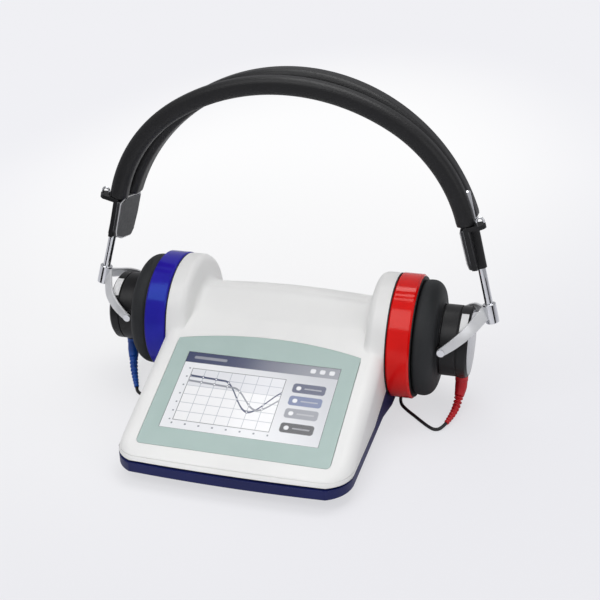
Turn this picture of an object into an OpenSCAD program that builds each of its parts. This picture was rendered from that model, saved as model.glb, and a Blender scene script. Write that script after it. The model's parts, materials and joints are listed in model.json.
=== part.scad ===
// Desktop audiometer with its two-earphone headset parked on the side docks.
// X runs to the viewer's right, Y to the back and Z up. The part stands on Z = 0.

/* [Base unit] */
// Width across the side walls
base_w = 158.6; // [144:0.2:190]
// Dock axis to the front edge
front_reach = 151; // [140:1:182]
// Dock axis to the rear wall
rear_reach = 36; // [33:1:44]
// How far the front edge bows out in the middle
front_bow = 3; // [1:0.5:5]
// Plan radius of the front corners
corner_r = 23; // [15:1:28]
// Height of the panel's plane over the front edge
lip_z = 17.2; // [16.6:0.1:18.5]
// Height of the dock axis above the table
dock_h = 51.5; // [50:0.5:58]
// Radius of the saddle at its two ends
saddle_r = 24.2; // [22:0.2:26]
// Extra radius at the middle of the saddle
saddle_crown = 3.2; // [1:0.2:5]
// Wall of the housing and of the cover
wall = 2.5; // [2:0.1:3]
// Height of the joint line at the front
parting_z = 16; // [15:0.5:18]
// Height of the joint line beside the docks
parting_rear_z = 27; // [24:0.5:30]
// Height of the cover's front underside
underside_z = 8.5; // [7:0.5:10]
// Height of the cover's rear underside
plinth_z = 1.2; // [1:0.1:2]
// Diameter of a rubber foot
foot_d = 12; // [9:0.5:15]
// Radius of the side flanges
flange_r = 43.8; // [41:0.2:45]
// Thickness of a side flange
flange_t = 13.3; // [11:0.1:15]

/* [Screen] */
// Width of the visible screen
screen_w = 109; // [98:1:120]
// Height of the visible screen
screen_h = 65.5; // [58:0.5:72]
// Overlay margin at each side of the screen
overlay_side = 11; // [8:0.5:13]
// Overlay margin under the screen
overlay_low = 14.7; // [10:0.1:17]
// Overlay margin over the screen at its corners
overlay_top = 11.2; // [9:0.1:14]
// Rise of the arched upper edge
overlay_arch = 8; // [4:0.5:9]
// Thickness of the overlay
overlay_t = 0.8; // [0.5:0.1:1]
// Thickness of the touch glass
glass_t = 1.8; // [1.5:0.1:2.5]
// Thickness of the display module
display_t = 5; // [4:0.5:6.5]

/* [Docks] */
// Radius of a dock ring
ring_r = 44.3; // [42:0.1:45]
// Thickness of a dock ring
ring_t = 16; // [12:0.5:19]
// Thickness of the inner seal
inner_seal_t = 0.8; // [0.6:0.1:1.2]
// Thickness of the outer seal
outer_seal_t = 0.6; // [0.5:0.1:1]
// Radius of the coupler's sound opening
coupler_mouth_r = 9; // [7:0.5:11]

/* [Earphones] */
// Radius of an ear cushion
cushion_r = 41; // [36:0.5:44]
// Thickness of an ear cushion
cushion_t = 16; // [14:0.5:19]
// Radius of an earphone shell
shell_r = 25; // [23:0.5:26]
// Depth of an earphone shell
shell_t = 22.5; // [19:0.5:23]
// Height of the tilt pins above the dock axis
pin_rise = 4.5; // [3:0.5:6]
// Radius of a tilt pin
pin_r = 1.6; // [1.3:0.1:2]
// Radius of the yoke's bow at mid-thickness
yoke_r = 29; // [28.5:0.1:32]
// Thickness of the yoke strap
yoke_t = 1.6; // [1.2:0.1:2]
// Width of the yoke strap at the barrel
yoke_w = 9.2; // [8:0.1:10]
// Width of the yoke strap at a pin
yoke_end_w = 5.6; // [5:0.1:7]

/* [Headband] */
// Diameter of a headset rod
rod_d = 5.5; // [5:0.1:6]
// Outward lean of the rods
rod_lean = 14.57; // [12:0.1:16]
// Backward lean of the rods
rod_back = 6.08; // [4:0.1:7]
// Length of a rod
rod_l = 93; // [86:1:98]
// Height of a rod clamp
clamp_h = 31; // [28:1:33]
// Thickness of the padded front band
front_t = 12.6; // [11:0.2:14]
// Width of the padded front band
front_w = 12.5; // [11:0.1:13]
// Crown radius of the front band
front_crown_r = 149; // [142:1:156]
// Side radius of the front band
front_side_r = 107; // [103:1:110]
// Thickness of the rear band
rear_t = 12; // [10.5:0.5:13]
// Width of the rear band
rear_w = 18; // [15:0.5:20]
// Crown radius of the rear band
rear_crown_r = 132; // [126:1:138]
// Side radius of the rear band
rear_side_r = 107; // [104:1:110]
// Backward tilt of the rear band
rear_tilt = 3.6; // [2:0.2:8]
// Thickness of the steel strip in each band
strip_t = 0.8; // [0.6:0.1:1]

/* [Leads] */
// Diameter of an earphone lead
lead_d = 2.4; // [2:0.1:2.8]
// Turns side by side in a stored coil
coil_columns = 4; // [3:1:4]
// Radius of the coil's middle turn
coil_mid_r = 14; // [12:0.5:16]
// Radius of a plug's sleeve
plug_r = 5.5; // [5:0.1:6.5]

/* [Hidden] */
$fn = 64;

left = -1;
right = 1;
eps = 0.01;
big = 400;

// Fits
slip = 0.3;            // soft solid to its neighbour on another body
running = 0.05;        // radial clearance of a shaft in its bore
seat = 0.1;            // clearance of a piece laid in its pocket
slot_gap = 0.15;       // steel strip in its slot

// Base unit
half_w = base_w / 2;
saddle_end_x = half_w - flange_t;
rear_top_z = dock_h + 3;
bow_r = (pow(half_w, 2) + pow(front_bow, 2)) / (2 * front_bow);
rear_corner_r = 8;
parting_ramp_front = -70;
parting_ramp_rear = -25;
parting_gap = 1;
plinth_ramp_front = -44;
plinth_ramp_rear = -14;
flange_round = 6;
spigot_r = 30;
foot_inset = 26;
foot_seat = 1.5;
screw_r = 1.6;
screw_head_r = 3;
screw_head_t = 2;
screw_l = 12;
boss_r = 4;
boss_top_z = parting_z - parting_gap + 6;
screw_spots = [[-70, -126], [70, -126], [-58, 12], [58, 12]];

// Screen, in the frame of the sloping panel
panel_tilt = round(10 * (atan((dock_h - lip_z) / front_reach)
    + asin(saddle_r / norm([front_reach, dock_h - lip_z])))) / 10;
panel_y = 58.8 - front_reach;
panel_z = dock_h + saddle_r / cos(panel_tilt) + panel_y * tan(panel_tilt);
overlay_w = screen_w + 2 * overlay_side;
overlay_low_y = -screen_h / 2 - overlay_low;
overlay_high_y = screen_h / 2 + overlay_top + overlay_arch;
arch_r = (pow(overlay_w / 2, 2) + pow(overlay_arch, 2)) / (2 * overlay_arch);
overlay_corner = 3;
glass_margin = 3;
module_margin = 4;
bracket_t = 1.2;
panel_post_r = 3;

// Board
board_t = 1.6;
board_z = 20;
board_w = 118;
board_front = -104;
board_rear = 6;
post_r = 3.2;
board_posts = [[-52, -98], [52, -98], [-52, -4], [52, -4]];

// Rear panel
panel_w = 104;
panel_h = 26;
panel_t = 2;
panel_low_z = 16;
jack_r = 3.25;
jack_body_r = 6;
jack_l = 34;
jack_x = [-40, -24, -8];
jack_z = 29;
usb_x = 10;
power_x = 26;
rocker_x = 42;
rocker_w = 9;
rocker_h = 14;
rocker_t = 5;
rocker_pin_r = 1;

// Docks
ring_in_x = half_w + inner_seal_t;
ring_out_x = ring_in_x + ring_t;
dock_x = ring_out_x + outer_seal_t;
ring_bevel = 1.2;
seal_r = ring_r - 0.5;
ring_bore_r = 27;
coupler_r = 26;
coupler_l = 22;
mic_r = 6.4;
mic_l = 12;

// Earphones
cushion_x = dock_x + slip;
shell_x = cushion_x + cushion_t - 3;
shell_end_x = shell_x + shell_t;
pin_x = shell_x + 5.6;
pin_z = dock_h + pin_rise;
shell_wall = 2.2;
rim_t = 7;
groove_t = 1;
cap_rise = 1.5;
cap_r = shell_r - 2;
driver_r = 19;
driver_seat_r = shell_r - shell_wall - 2;
label_t = 0.3;
label_w = 6;
label_span = 34;
label_mid = 122;
exit_x = shell_end_x - 6;
exit_r = 4.7;
exit_drop = 2;

// Yoke and rod. The yoke's bow rises outward from the pins to the barrel: each arm is
// round as far as bow_turn, then straight.
bow_tilt = 38;
bow_turn = 60;
bow_reach = yoke_r / sin(bow_turn);
barrel_r = 4.6;
barrel_l = 14;
barrel_x = pin_x + bow_reach * cos(bow_tilt) + 2.7;
barrel_z = pin_z + bow_reach * sin(bow_tilt) - 1.1;
rod_r = rod_d / 2;
barrel_cap = 1.5;
clamp_up = 33;                       // barrel's middle to the foot of the clamp, along the rod
rod_dir = [-cos(rod_back) * sin(rod_lean), sin(rod_back), cos(rod_back) * cos(rod_lean)];
clamp_pt = [barrel_x, 0, barrel_z] + clamp_up * rod_dir;
rod_top = rod_l - clamp_up - barrel_l / 2 + barrel_cap;

// Clamp and bracket, in the clamp's frame: origin on the rod, Z up the leg
block_in = -3.9;
block_out = -0.8;
block_front = -12;
block_back = 0.5;
block_low = 3;
sleeve_r = 3.8;
tab_t = 3;
tab_out = 11;
plate_t = 2.2;
plate_back = 27.4;
plate_low = -7.2;
plate_high = clamp_h + 1.2;
keeper_t = 0.9;
keeper_inset = 1.4;
boss_t = 2.3;
boss_front = 8.5;
boss_back = 25;
boss_low = 13;
hook_r = 0.8;
hook_bow_r = 2.4;
strip_grip = 7;                      // length of strip held past the sleeve's end

// Bands. Each is a three-centred arch that ends at the bracket.
front_end_a = 13.6;
front_end = in_clamp([-2.3, -5.9, clamp_h + tab_t + 0.3 + front_t / 2 * sin(3)]);
front_c = front_end[0] - front_side_r * cos(front_end_a);
front_cz = front_end[2] - front_side_r * sin(front_end_a);
front_beta = asin(front_c / (front_crown_r - front_side_r));
front_y = front_end[1];
front_corner = 5;
rear_back = 16.6;                    // rear band's middle behind the rod's foot
strip_front_w = 9;
rear_end_a = 18.2;
rear_end = in_clamp([-3.5, rear_back, clamp_h + 0.8]);
rear_c = rear_end[0] - rear_side_r * cos(rear_end_a);
rear_beta = asin(rear_c / (rear_crown_r - rear_side_r));
rear_corner = 5;
strip_rear_w = 12;

// The origin lies under the middle of everything but the leads
dock_y = (front_reach - ring_r) / 2;

// Leads: routes on the table, from the dock axis, as points chosen by hand
boot_points_right = [[126.5, 0, 24.5], [126.5, 0, 20.5], [126.5, -2, 15.5], [126, -6, 10.5],
    [125.5, -12, 6.5], [124.5, -19, 4.5], [123, -26, 3.5], [121.5, -32.5, 3]];
boot_points_left = [[-126.5, 0, 24.5], [-126.5, 0, 20.5], [-125, -4.5, 16], [-122.5, -11, 12],
    [-119.5, -18, 8.8], [-116, -25, 6], [-112.5, -31.5, 4.2], [-109, -38, 3.1]];
boot_radii = [4.6, 4.6, 4.5, 3.6, 3.3, 2.9, 2.5, 2.1];
lead_z = 1.3;
route_right = [[121.3, -33, 3], [120, -36, 2.5], [117.5, -39, 1.6], [114, -39.5, lead_z],
    [110, -37, lead_z], [105, -32.5, lead_z], [98, -25.5, lead_z], [91, -18.5, lead_z],
    [86, -12, lead_z], [83.5, -4, lead_z], [82.5, 7, lead_z], [82, 19, lead_z],
    [80, 32, lead_z], [75, 44, lead_z], [67, 54, lead_z], [56, 61, lead_z],
    [44, 64, lead_z], [36, 64, 2.3], [34, 64, 2.3]];
route_left = [[-108.8, -38.5, 3.1], [-107, -41.5, 2.4], [-104, -43.5, 1.6], [-100.5, -43, lead_z],
    [-97, -39, lead_z], [-94.5, -32, lead_z], [-92, -23, lead_z], [-89, -13, lead_z],
    [-85.5, -3, lead_z], [-83.5, 8, lead_z], [-82.5, 20, lead_z], [-81, 33, lead_z],
    [-78, 45, lead_z], [-73, 55, lead_z], [-66, 61.5, lead_z], [-60, 64, 1.8],
    [-56, 64, 2.3], [-54, 64, 2.3]];
coil_start_right = [34, 64, 2.3];
coil_start_left = [-54, 64, 2.3];
coil_pitch = lead_d + 0.5;
coil_steps = 20;
coil_sides = 6;
coil_turns = 4 * coil_columns;       // four layers
coil_height = 3 * coil_pitch;        // lowest to highest middle line
tail_right = [[20, 64.5, 11.5], [12, 66.5, 13], [4, 70, 16], [-3, 76, 19.5], [-9, 83.5, 23],
    [-14.5, 90, 26.5], [-20, 92, 28.5], [-23.5, 87.5, 29], [-24, 80, 29]];
tail_left = [[-42, 64.5, 11.5], [-35.5, 67, 13], [-31, 72.5, 16.5], [-29, 80, 20.5],
    [-30.5, 87.5, 24.5], [-35, 91.5, 28], [-39.5, 88, 29], [-40, 80, 29]];
plug_l = 24;
plug_relief_l = 10;
plug_relief_r = 2.2;
plug_pin_l = 30;
tie_w = 4;
tie_t = 0.8;

// ---------------------------------------------------------------- functions

function unit(v) = v / norm(v);

// Clamp frame to model frame, on the right-hand side
function in_clamp(p) = clamp_pt + [
    p[0] * cos(rod_lean) - p[2] * sin(rod_lean),
    p[1],
    p[0] * sin(rod_lean) + p[2] * cos(rod_lean)];

function tangent(pts, i) = unit(pts[min(i + 1, len(pts) - 1)] - pts[max(i - 1, 0)]);

// One ring of a swept tube: a circle of n points square to the path
function ring_at(p, t, r, n) =
    let (up = abs(t[2]) > 0.9 ? [0, 1, 0] : [0, 0, 1],
         a = unit(cross(up, t)),
         b = cross(t, a))
    [for (k = [0 : n - 1]) p + r * (cos(360 * k / n) * a + sin(360 * k / n) * b)];

// Piled coil: it spirals in and out again at a steady rate, and climbs a layer in the
// half turn where it reverses. Both ends lie on the outside, and run straight.
function coil_fold(s) = abs(s - 2 * coil_columns * round(s / (2 * coil_columns)));
function coil_r(s) = coil_mid_r + (coil_columns / 2 - coil_fold(s)) * coil_pitch;
function coil_climb(s, k) = min(1, max(0, 2 * (s - k * coil_columns) + 0.5));
function coil_z(s) = coil_pitch * (coil_climb(s, 1) + coil_climb(s, 2) + coil_climb(s, 3));
function coil_point(s) = [coil_r(s) * cos(360 * s), coil_r(s) * sin(360 * s), coil_z(s)];
coil_out_r = coil_r(0);
coil_points = concat(
    [[coil_out_r, -lead_d, 0]],
    [for (i = [0 : coil_turns * coil_steps]) coil_point(i / coil_steps)],
    [[coil_out_r, lead_d, coil_height]]);
// Least gap of the coil to itself, from its middle line and more than half a turn on
coil_gap = min([for (i = [0 : coil_turns * coil_steps - coil_steps / 2])
    min([for (j = [i + coil_steps / 2 : min(coil_turns, i / coil_steps + 2 * coil_columns)
        * coil_steps]) norm(coil_points[i + 1] - coil_points[j + 1])])]) - lead_d;
echo(least_coil_gap = coil_gap);
echo(dock_y = dock_y, dock_h = dock_h, pin = [pin_x, 0, pin_z], clamp = clamp_pt, rod = rod_dir,
    rocker = [rocker_x, rear_reach - panel_t / 2, jack_z], dock_x = dock_x, ring_out = ring_out_x);

// ------------------------------------------------------------------ helpers

module at_dock() {
    translate([0, dock_y, 0]) children();
}

module side(s) {
    at_dock() mirror([s < 0 ? 1 : 0, 0, 0]) children();
}

// Turns a profile of [radius, x] about the dock axis
module about_dock(h = dock_h) {
    translate([0, 0, h]) rotate([0, 90, 0]) rotate_extrude($fn = 96) children();
}

module along_x(w) {
    rotate([90, 0, 90]) translate([0, 0, -w / 2]) linear_extrude(w) children();
}

module swept(pts, radii, n) {
    rings = [for (i = [0 : len(pts) - 1])
        each ring_at(pts[i], tangent(pts, i), is_list(radii) ? radii[i] : radii, n)];
    last = (len(pts) - 1) * n;
    walls = [for (i = [0 : len(pts) - 2]) for (k = [0 : n - 1])
        let (a = i * n + k, b = i * n + (k + 1) % n)
        each [[a, b, b + n], [a, b + n, a + n]]];
    near = [for (k = [1 : n - 2]) [0, k + 1, k]];
    far = [for (k = [1 : n - 2]) [last, last + k, last + k + 1]];
    polyhedron(points = rings, faces = concat(walls, near, far));
}

module rounded_square(w, h, r) {
    square([w - 2 * r, h], center = true);
    square([w, h - 2 * r], center = true);
    for (x = [-1, 1]) for (y = [-1, 1])
        translate([x * (w / 2 - r), y * (h / 2 - r)]) circle(r);
}

// ------------------------------------------------------------- base outline

module plan(d) {
    w = half_w - d;
    r = corner_r - d;
    rr = rear_corner_r - d;
    y0 = -front_reach + d;
    y1 = rear_reach - d;
    intersection() {
        union() {
            translate([-w, y0 + r]) square([2 * w, y1 - y0 - r - rr]);
            translate([-w + r, y0]) square([2 * (w - r), r + 1]);
            translate([-w + rr, y1 - rr - 1]) square([2 * (w - rr), rr + 1]);
            for (s = [-1, 1]) {
                translate([s * (w - r), y0 + r]) circle(r);
                translate([s * (w - rr), y1 - rr]) circle(rr);
            }
        }
        translate([0, y0 + bow_r]) circle(bow_r - d, $fn = 256);
    }
}

// Side view of the body, drawn in from the outside by d
module profile(d) {
    r = saddle_r - d;
    ty = -r * sin(panel_tilt);
    tz = dock_h + r * cos(panel_tilt);
    front_z = tz + (-front_reach - ty) * tan(panel_tilt);
    y1 = rear_reach - d;
    polygon([
        [-front_reach, underside_z + d], [plinth_ramp_front, underside_z + d],
        [plinth_ramp_rear, plinth_z + d], [y1, plinth_z + d],
        [y1, rear_top_z - d], [r * sin(45), dock_h + r * cos(45)],
        [0, dock_h], [ty, tz], [-front_reach, front_z]]);
    translate([0, dock_h]) circle(r, $fn = 96);
}

module saddle(d) {
    top_r = saddle_r + saddle_crown - d;
    big_r = (pow(saddle_end_x, 2) + pow(saddle_crown, 2)) / (2 * saddle_crown);
    about_dock() intersection() {
        translate([top_r - big_r, 0]) circle(big_r, $fn = 256);
        translate([0, -saddle_end_x]) square([top_r + 1, 2 * saddle_end_x]);
    }
}

module flange_disc(d) {
    r = flange_r - d;
    f = flange_round - d;
    about_dock() {
        translate([0, half_w - flange_t + d]) square([r - f, flange_t - 2 * d]);
        translate([0, half_w - flange_t + d + f]) square([r, flange_t - 2 * d - f]);
        translate([r - f, half_w - flange_t + d + f]) circle(f);
    }
}

module body(d) {
    intersection() {
        union() {
            intersection() {
                along_x(2 * (half_w - d)) profile(d);
                linear_extrude(big) plan(d);
            }
            saddle(d);
            flange_disc(d);
            mirror([1, 0, 0]) flange_disc(d);
        }
        translate([-big / 2, -big / 2, plinth_z + d]) cube([big, big, big]);
    }
}

// The side view above the joint line
module above_parting(lift) {
    along_x(big) polygon([
        [-big / 2, parting_z + lift], [parting_ramp_front, parting_z + lift],
        [parting_ramp_rear, parting_rear_z + lift], [big / 2, parting_rear_z + lift],
        [big / 2, big], [-big / 2, big]]);
}

module on_panel() {
    translate([0, panel_y, panel_z]) rotate([panel_tilt, 0, 0]) children();
}

module overlay_outline(d) {
    intersection() {
        translate([0, (overlay_low_y + overlay_high_y) / 2])
            rounded_square(overlay_w - 2 * d, overlay_high_y - overlay_low_y - 2 * d, overlay_corner);
        translate([0, overlay_high_y - arch_r]) circle(arch_r - d, $fn = 256);
    }
}

module dock_openings() {
    for (s = [left, right]) mirror([s < 0 ? 1 : 0, 0, 0])
        translate([half_w - wall - 1, 0, dock_h]) rotate([0, 90, 0])
            cylinder(r = spigot_r + seat, h = wall + 2, $fn = 96);
}

module rear_window(d) {
    translate([0, rear_reach - wall - 1, panel_low_z + panel_h / 2]) rotate([-90, 0, 0])
        linear_extrude(wall + 2) rounded_square(panel_w + 2 * d, panel_h + 2 * d, 3);
}

// ---------------------------------------------------------------- base unit

module bottom_cover() {
    color("midnightblue") at_dock() difference() {
        union() {
            difference() {
                body(0);
                body(wall);
                above_parting(0 - parting_gap);
            }
            for (p = screw_spots) intersection() {
                translate([p[0], p[1], plinth_z]) cylinder(r = boss_r, h = boss_top_z - plinth_z - slip);
                body(0);
            }
            for (p = board_posts) intersection() {
                translate([p[0], p[1], plinth_z]) cylinder(r = post_r, h = board_z - plinth_z);
                body(0);
            }
        }
        dock_openings();
        rear_window(seat);
        for (p = screw_spots) translate([p[0], p[1], 0]) {
            cylinder(r = screw_r + seat, h = big);
            cylinder(r = screw_head_r + seat, h = cover_floor(p[1]) + screw_head_t + seat);
        }
        for (p = foot_spots()) translate([p[0], p[1], 0])
            cylinder(d = foot_d + 2 * seat, h = cover_floor(p[1]) + foot_seat);
    }
}

function cover_floor(y) = y < plinth_ramp_front ? underside_z : plinth_z;
function foot_spots() = [for (s = [left, right]) each [
    [s * (half_w - foot_inset), -front_reach + foot_inset - 4],
    [s * (half_w - foot_inset), rear_reach - foot_inset + 12]]];

module top_housing() {
    color("whitesmoke") at_dock() difference() {
        union() {
            intersection() {
                difference() {
                    body(0);
                    body(wall);
                }
                above_parting(0);
            }
            for (p = screw_spots) intersection() {
                translate([p[0], p[1], boss_top_z]) cylinder(r = boss_r, h = big);
                body(wall / 2);
            }
            // Posts that carry the display bracket
            intersection() {
                on_panel() for (x = [-1, 1]) for (y = [-1, 1])
                    translate([x * post_x(), y * post_y(), bracket_top()])
                        cylinder(r = panel_post_r, h = -bracket_top() - overlay_t - eps);
                body(wall / 2);
            }
        }
        on_panel() translate([0, 0, -overlay_t]) linear_extrude(20) overlay_outline(-seat);
        on_panel() translate([0, 0, -20]) linear_extrude(40)
            square([screen_w + 2 * glass_margin + 2 * seat, screen_h + 2 * glass_margin + 2 * seat],
                center = true);
        dock_openings();
        rear_window(seat);
        for (p = screw_spots) translate([p[0], p[1], 0])
            cylinder(r = screw_r - seat, h = cover_floor(p[1]) + screw_l + screw_head_t + 2);
    }
}

function post_x() = screen_w / 2 + module_margin + 3;
function post_y() = screen_h / 2 - 6;
function bracket_top() = -overlay_t - glass_t - display_t;

module screen_overlay() {
    color("darkseagreen") at_dock() on_panel() translate([0, 0, -overlay_t])
        linear_extrude(overlay_t) difference() {
            overlay_outline(0);
            square([screen_w, screen_h], center = true);
        }
}

module touch_glass() {
    color("gainsboro") at_dock() on_panel() {
        translate([0, 0, -overlay_t - glass_t]) linear_extrude(glass_t)
            square([screen_w + 2 * glass_margin, screen_h + 2 * glass_margin], center = true);
        translate([0, 0, -overlay_t - eps]) linear_extrude(overlay_t - seat)
            square([screen_w - 2 * seat, screen_h - 2 * seat], center = true);
    }
}

module display_module() {
    color("dimgray") at_dock() on_panel() translate([0, 0, bracket_top()])
        linear_extrude(display_t)
            square([screen_w + 2 * module_margin, screen_h + 2 * module_margin], center = true);
}

module display_bracket() {
    color("silver") at_dock() on_panel() difference() {
        translate([0, 0, bracket_top() - bracket_t]) linear_extrude(bracket_t) difference() {
            rounded_square(2 * post_x() + 8, screen_h - 4, 3);
            rounded_square(screen_w - 24, screen_h - 30, 3);
        }
    }
}

module main_board() {
    color("darkgreen") at_dock() difference() {
        translate([-board_w / 2, board_front, board_z]) cube([board_w, board_rear - board_front, board_t]);
        for (p = screw_spots) translate([p[0], p[1], board_z - 1]) cylinder(r = boss_r + 1, h = 4);
    }
}

module board_components() {
    top = board_z + board_t;
    color("black") at_dock() {
        translate([-30, -60, top]) cube([22, 22, 1.6]);
        translate([6, -64, top]) cube([16, 16, 1.4]);
        translate([-46, -30, top]) cube([30, 18, 11]);
        translate([20, -34, top]) cube([14, 10, 8]);
        for (x = [0, 10]) translate([x, -22, top]) cylinder(r = 4, h = 12);
        translate([38, -66, top]) cylinder(r = 8, h = 4);
        for (x = [-44, -28, -12]) translate([x, -14, top]) cube([8, 8, 9]);
        translate([-40, -88, top]) cube([34, 5, 3.5]);
    }
}

module rear_panel() {
    color("midnightblue") at_dock() difference() {
        translate([0, rear_reach - panel_t, panel_low_z + panel_h / 2]) rotate([-90, 0, 0])
            linear_extrude(panel_t) rounded_square(panel_w, panel_h, 3);
        for (x = jack_x) translate([x, rear_reach - panel_t - 1, jack_z]) rotate([-90, 0, 0])
            cylinder(r = jack_r + 1.2 + seat, h = panel_t + 2);
        translate([usb_x, rear_reach - panel_t / 2, jack_z])
            cube([12 + 2 * seat, panel_t + 2, 11 + 2 * seat], center = true);
        translate([power_x, rear_reach - panel_t - 1, jack_z]) rotate([-90, 0, 0])
            cylinder(r = 4.5 + seat, h = panel_t + 2);
        translate([rocker_x, rear_reach - panel_t / 2, jack_z])
            cube([rocker_w + 1, panel_t + 2, rocker_h + 1], center = true);
        for (z = [-1, 1]) for (x = [-1, 1]) translate([rocker_x + x * (rocker_w / 2 + 0.5), rear_reach
            - panel_t / 2, jack_z]) rotate([0, 90, 0])
                cylinder(r = rocker_pin_r + running, h = 3, center = true);
    }
}

module rear_jacks() {
    color("black") at_dock() for (x = jack_x)
        translate([x, rear_reach, jack_z]) rotate([90, 0, 0]) difference() {
            union() {
                cylinder(r = jack_r + 1.2, h = panel_t + 1);
                translate([0, 0, panel_t]) cylinder(r = jack_body_r, h = jack_l);
            }
            translate([0, 0, -1]) cylinder(r = jack_r, h = jack_l - 2);
        }
}

module usb_socket() {
    color("silver") at_dock() translate([usb_x, rear_reach - 7, jack_z]) difference() {
        cube([12, 14, 11], center = true);
        translate([0, 3, 0]) cube([8.5, 12, 7.5], center = true);
    }
}

module power_socket() {
    color("black") at_dock() translate([power_x, rear_reach, jack_z]) rotate([90, 0, 0]) {
        difference() {
            union() {
                cylinder(r = 4.5, h = panel_t + 1);
                translate([0, 0, panel_t]) cylinder(r = 6, h = 12);
            }
            translate([0, 0, -1]) cylinder(r = 3.2, h = 11);
        }
        cylinder(r = 1, h = 12);
    }
}

module power_rocker() {
    color("black") at_dock() translate([rocker_x, rear_reach - panel_t / 2, jack_z]) {
        rotate([0, 90, 0]) translate([0, 0, -rocker_w / 2]) {
            cylinder(r = rocker_t / 2, h = rocker_w);
            translate([0, 0, -1.5]) cylinder(r = rocker_pin_r, h = rocker_w + 3);
        }
        rotate([-8, 0, 0]) translate([-rocker_w / 2, -0.5, -rocker_h / 2 + 1.2])
            cube([rocker_w, 2.5, rocker_h - 2.4]);
    }
}

module rubber_feet() {
    color("black") at_dock() for (p = foot_spots()) translate([p[0], p[1], 0])
        cylinder(d1 = foot_d - 1, d2 = foot_d, h = cover_floor(p[1]) + foot_seat - seat);
}

module case_screws() {
    color("silver") at_dock() for (p = screw_spots) translate([p[0], p[1], cover_floor(p[1])]) {
        translate([0, 0, seat]) cylinder(r = screw_head_r, h = screw_head_t);
        translate([0, 0, seat]) cylinder(r = screw_r - seat - eps, h = screw_head_t + screw_l);
    }
}

// -------------------------------------------------------------------- docks

module dock_ring(s) {
    color(s < 0 ? "royalblue" : "crimson") side(s) about_dock() difference() {
        union() {
            translate([0, ring_in_x + ring_bevel]) square([ring_r, ring_t - 2 * ring_bevel]);
            polygon([[0, ring_in_x], [ring_r - ring_bevel, ring_in_x],
                [ring_r, ring_in_x + ring_bevel], [ring_r, ring_out_x - ring_bevel],
                [ring_r - ring_bevel, ring_out_x], [0, ring_out_x]]);
            // Spigot that enters the housing
            translate([0, half_w - wall - 2]) square([spigot_r, wall + 3]);
        }
        translate([0, half_w - wall - 3]) square([ring_bore_r, big]);
    }
}

module dock_ring_left() { dock_ring(left); }
module dock_ring_right() { dock_ring(right); }

module dock_seals() {
    color("black") for (s = [left, right]) side(s) about_dock() {
        translate([spigot_r + 1, half_w]) square([seal_r - spigot_r - 1, inner_seal_t]);
        translate([ring_bore_r, ring_out_x]) square([seal_r - ring_bore_r - 1, outer_seal_t]);
    }
}

module coupler(s) {
    back = ring_out_x - coupler_l;
    color("dimgray") side(s) about_dock() difference() {
        union() {
            translate([0, back]) square([coupler_r, coupler_l]);
            translate([0, half_w - wall - 3]) square([ring_bore_r + 2.5, 1]);
        }
        polygon([[0, back - 1], [mic_r + seat, back - 1], [mic_r + seat, back + 6],
            [coupler_mouth_r, back + 6], [coupler_mouth_r, ring_out_x - 6],
            [coupler_r - 4, ring_out_x + 1], [0, ring_out_x + 1]]);
    }
}

module coupler_left() { coupler(left); }
module coupler_right() { coupler(right); }

module reference_microphones() {
    back = ring_out_x - coupler_l;
    color("silver") for (s = [left, right]) side(s) about_dock()
        translate([0, back + 5.5 - mic_l]) square([mic_r, mic_l]);
}

// ----------------------------------------------------------------- headband

// Three-centred arch in the XZ plane, carrying a flat section. Both arcs of a half
// start at their seam, in one frame, and the halves meet on the YZ plane.
module arch(crown_r, side_r, c, cz, beta, end_a) {
    crown_z = cz - (crown_r - side_r) * cos(beta);
    rotate([90, 0, 0]) for (m = [0, 1]) mirror([m, 0, 0]) intersection() {
        translate([0, crown_z]) rotate([0, 0, 90 - beta]) {
            rotate_extrude(angle = beta + 2, $fn = 180) translate([crown_r, 0]) children();
            translate([crown_r - side_r, 0]) mirror([0, 1, 0])
                rotate_extrude(angle = 90 - beta - end_a, $fn = 180)
                    translate([side_r, 0]) children();
        }
        translate([0, -big, -big]) cube([big, 2 * big, 2 * big]);
    }
}

module front_arch(extra) {
    translate([0, front_y, 0])
        arch(front_crown_r, front_side_r, front_c, front_cz, front_beta, front_end_a - extra) children();
}

module rear_arch(extra) {
    translate([0, rear_end[1], rear_end[2]]) rotate([-rear_tilt, 0, 0])
        arch(rear_crown_r, rear_side_r, rear_c, -rear_side_r * sin(rear_end_a), rear_beta,
            rear_end_a - extra) children();
}

front_grip = strip_grip / front_side_r * 180 / PI;
rear_grip = strip_grip / rear_side_r * 180 / PI;

module front_strip_shape(gap) {
    front_arch(front_grip) square([strip_t + 2 * gap, strip_front_w + 2 * gap], center = true);
}

module rear_strip_shape(gap) {
    rear_arch(rear_grip) square([strip_t + 2 * gap, strip_rear_w + 2 * gap], center = true);
}

module front_band_sleeve() {
    color("black") at_dock() front_arch(0) difference() {
        rounded_square(front_t, front_w, front_corner);
        square([strip_t + 2 * seat, strip_front_w + 2 * seat], center = true);
    }
}

module front_band_strip() {
    color("silver") at_dock() front_strip_shape(0);
}

module rear_band_sleeve() {
    color("black") at_dock() rear_arch(0) difference() {
        rounded_square(rear_t, rear_w, rear_corner);
        square([strip_t + 2 * seat, strip_rear_w + 2 * seat], center = true);
    }
}

module rear_band_strip() {
    color("silver") at_dock() rear_strip_shape(0);
}

module clamp_frame() {
    translate(clamp_pt) rotate([0, -rod_lean, 0]) children();
}

// Z of the children runs up the rod from the foot of the clamp
module along_rod() {
    translate(clamp_pt) rotate([0, -rod_lean, 0]) rotate([-rod_back, 0, 0]) children();
}

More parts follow.
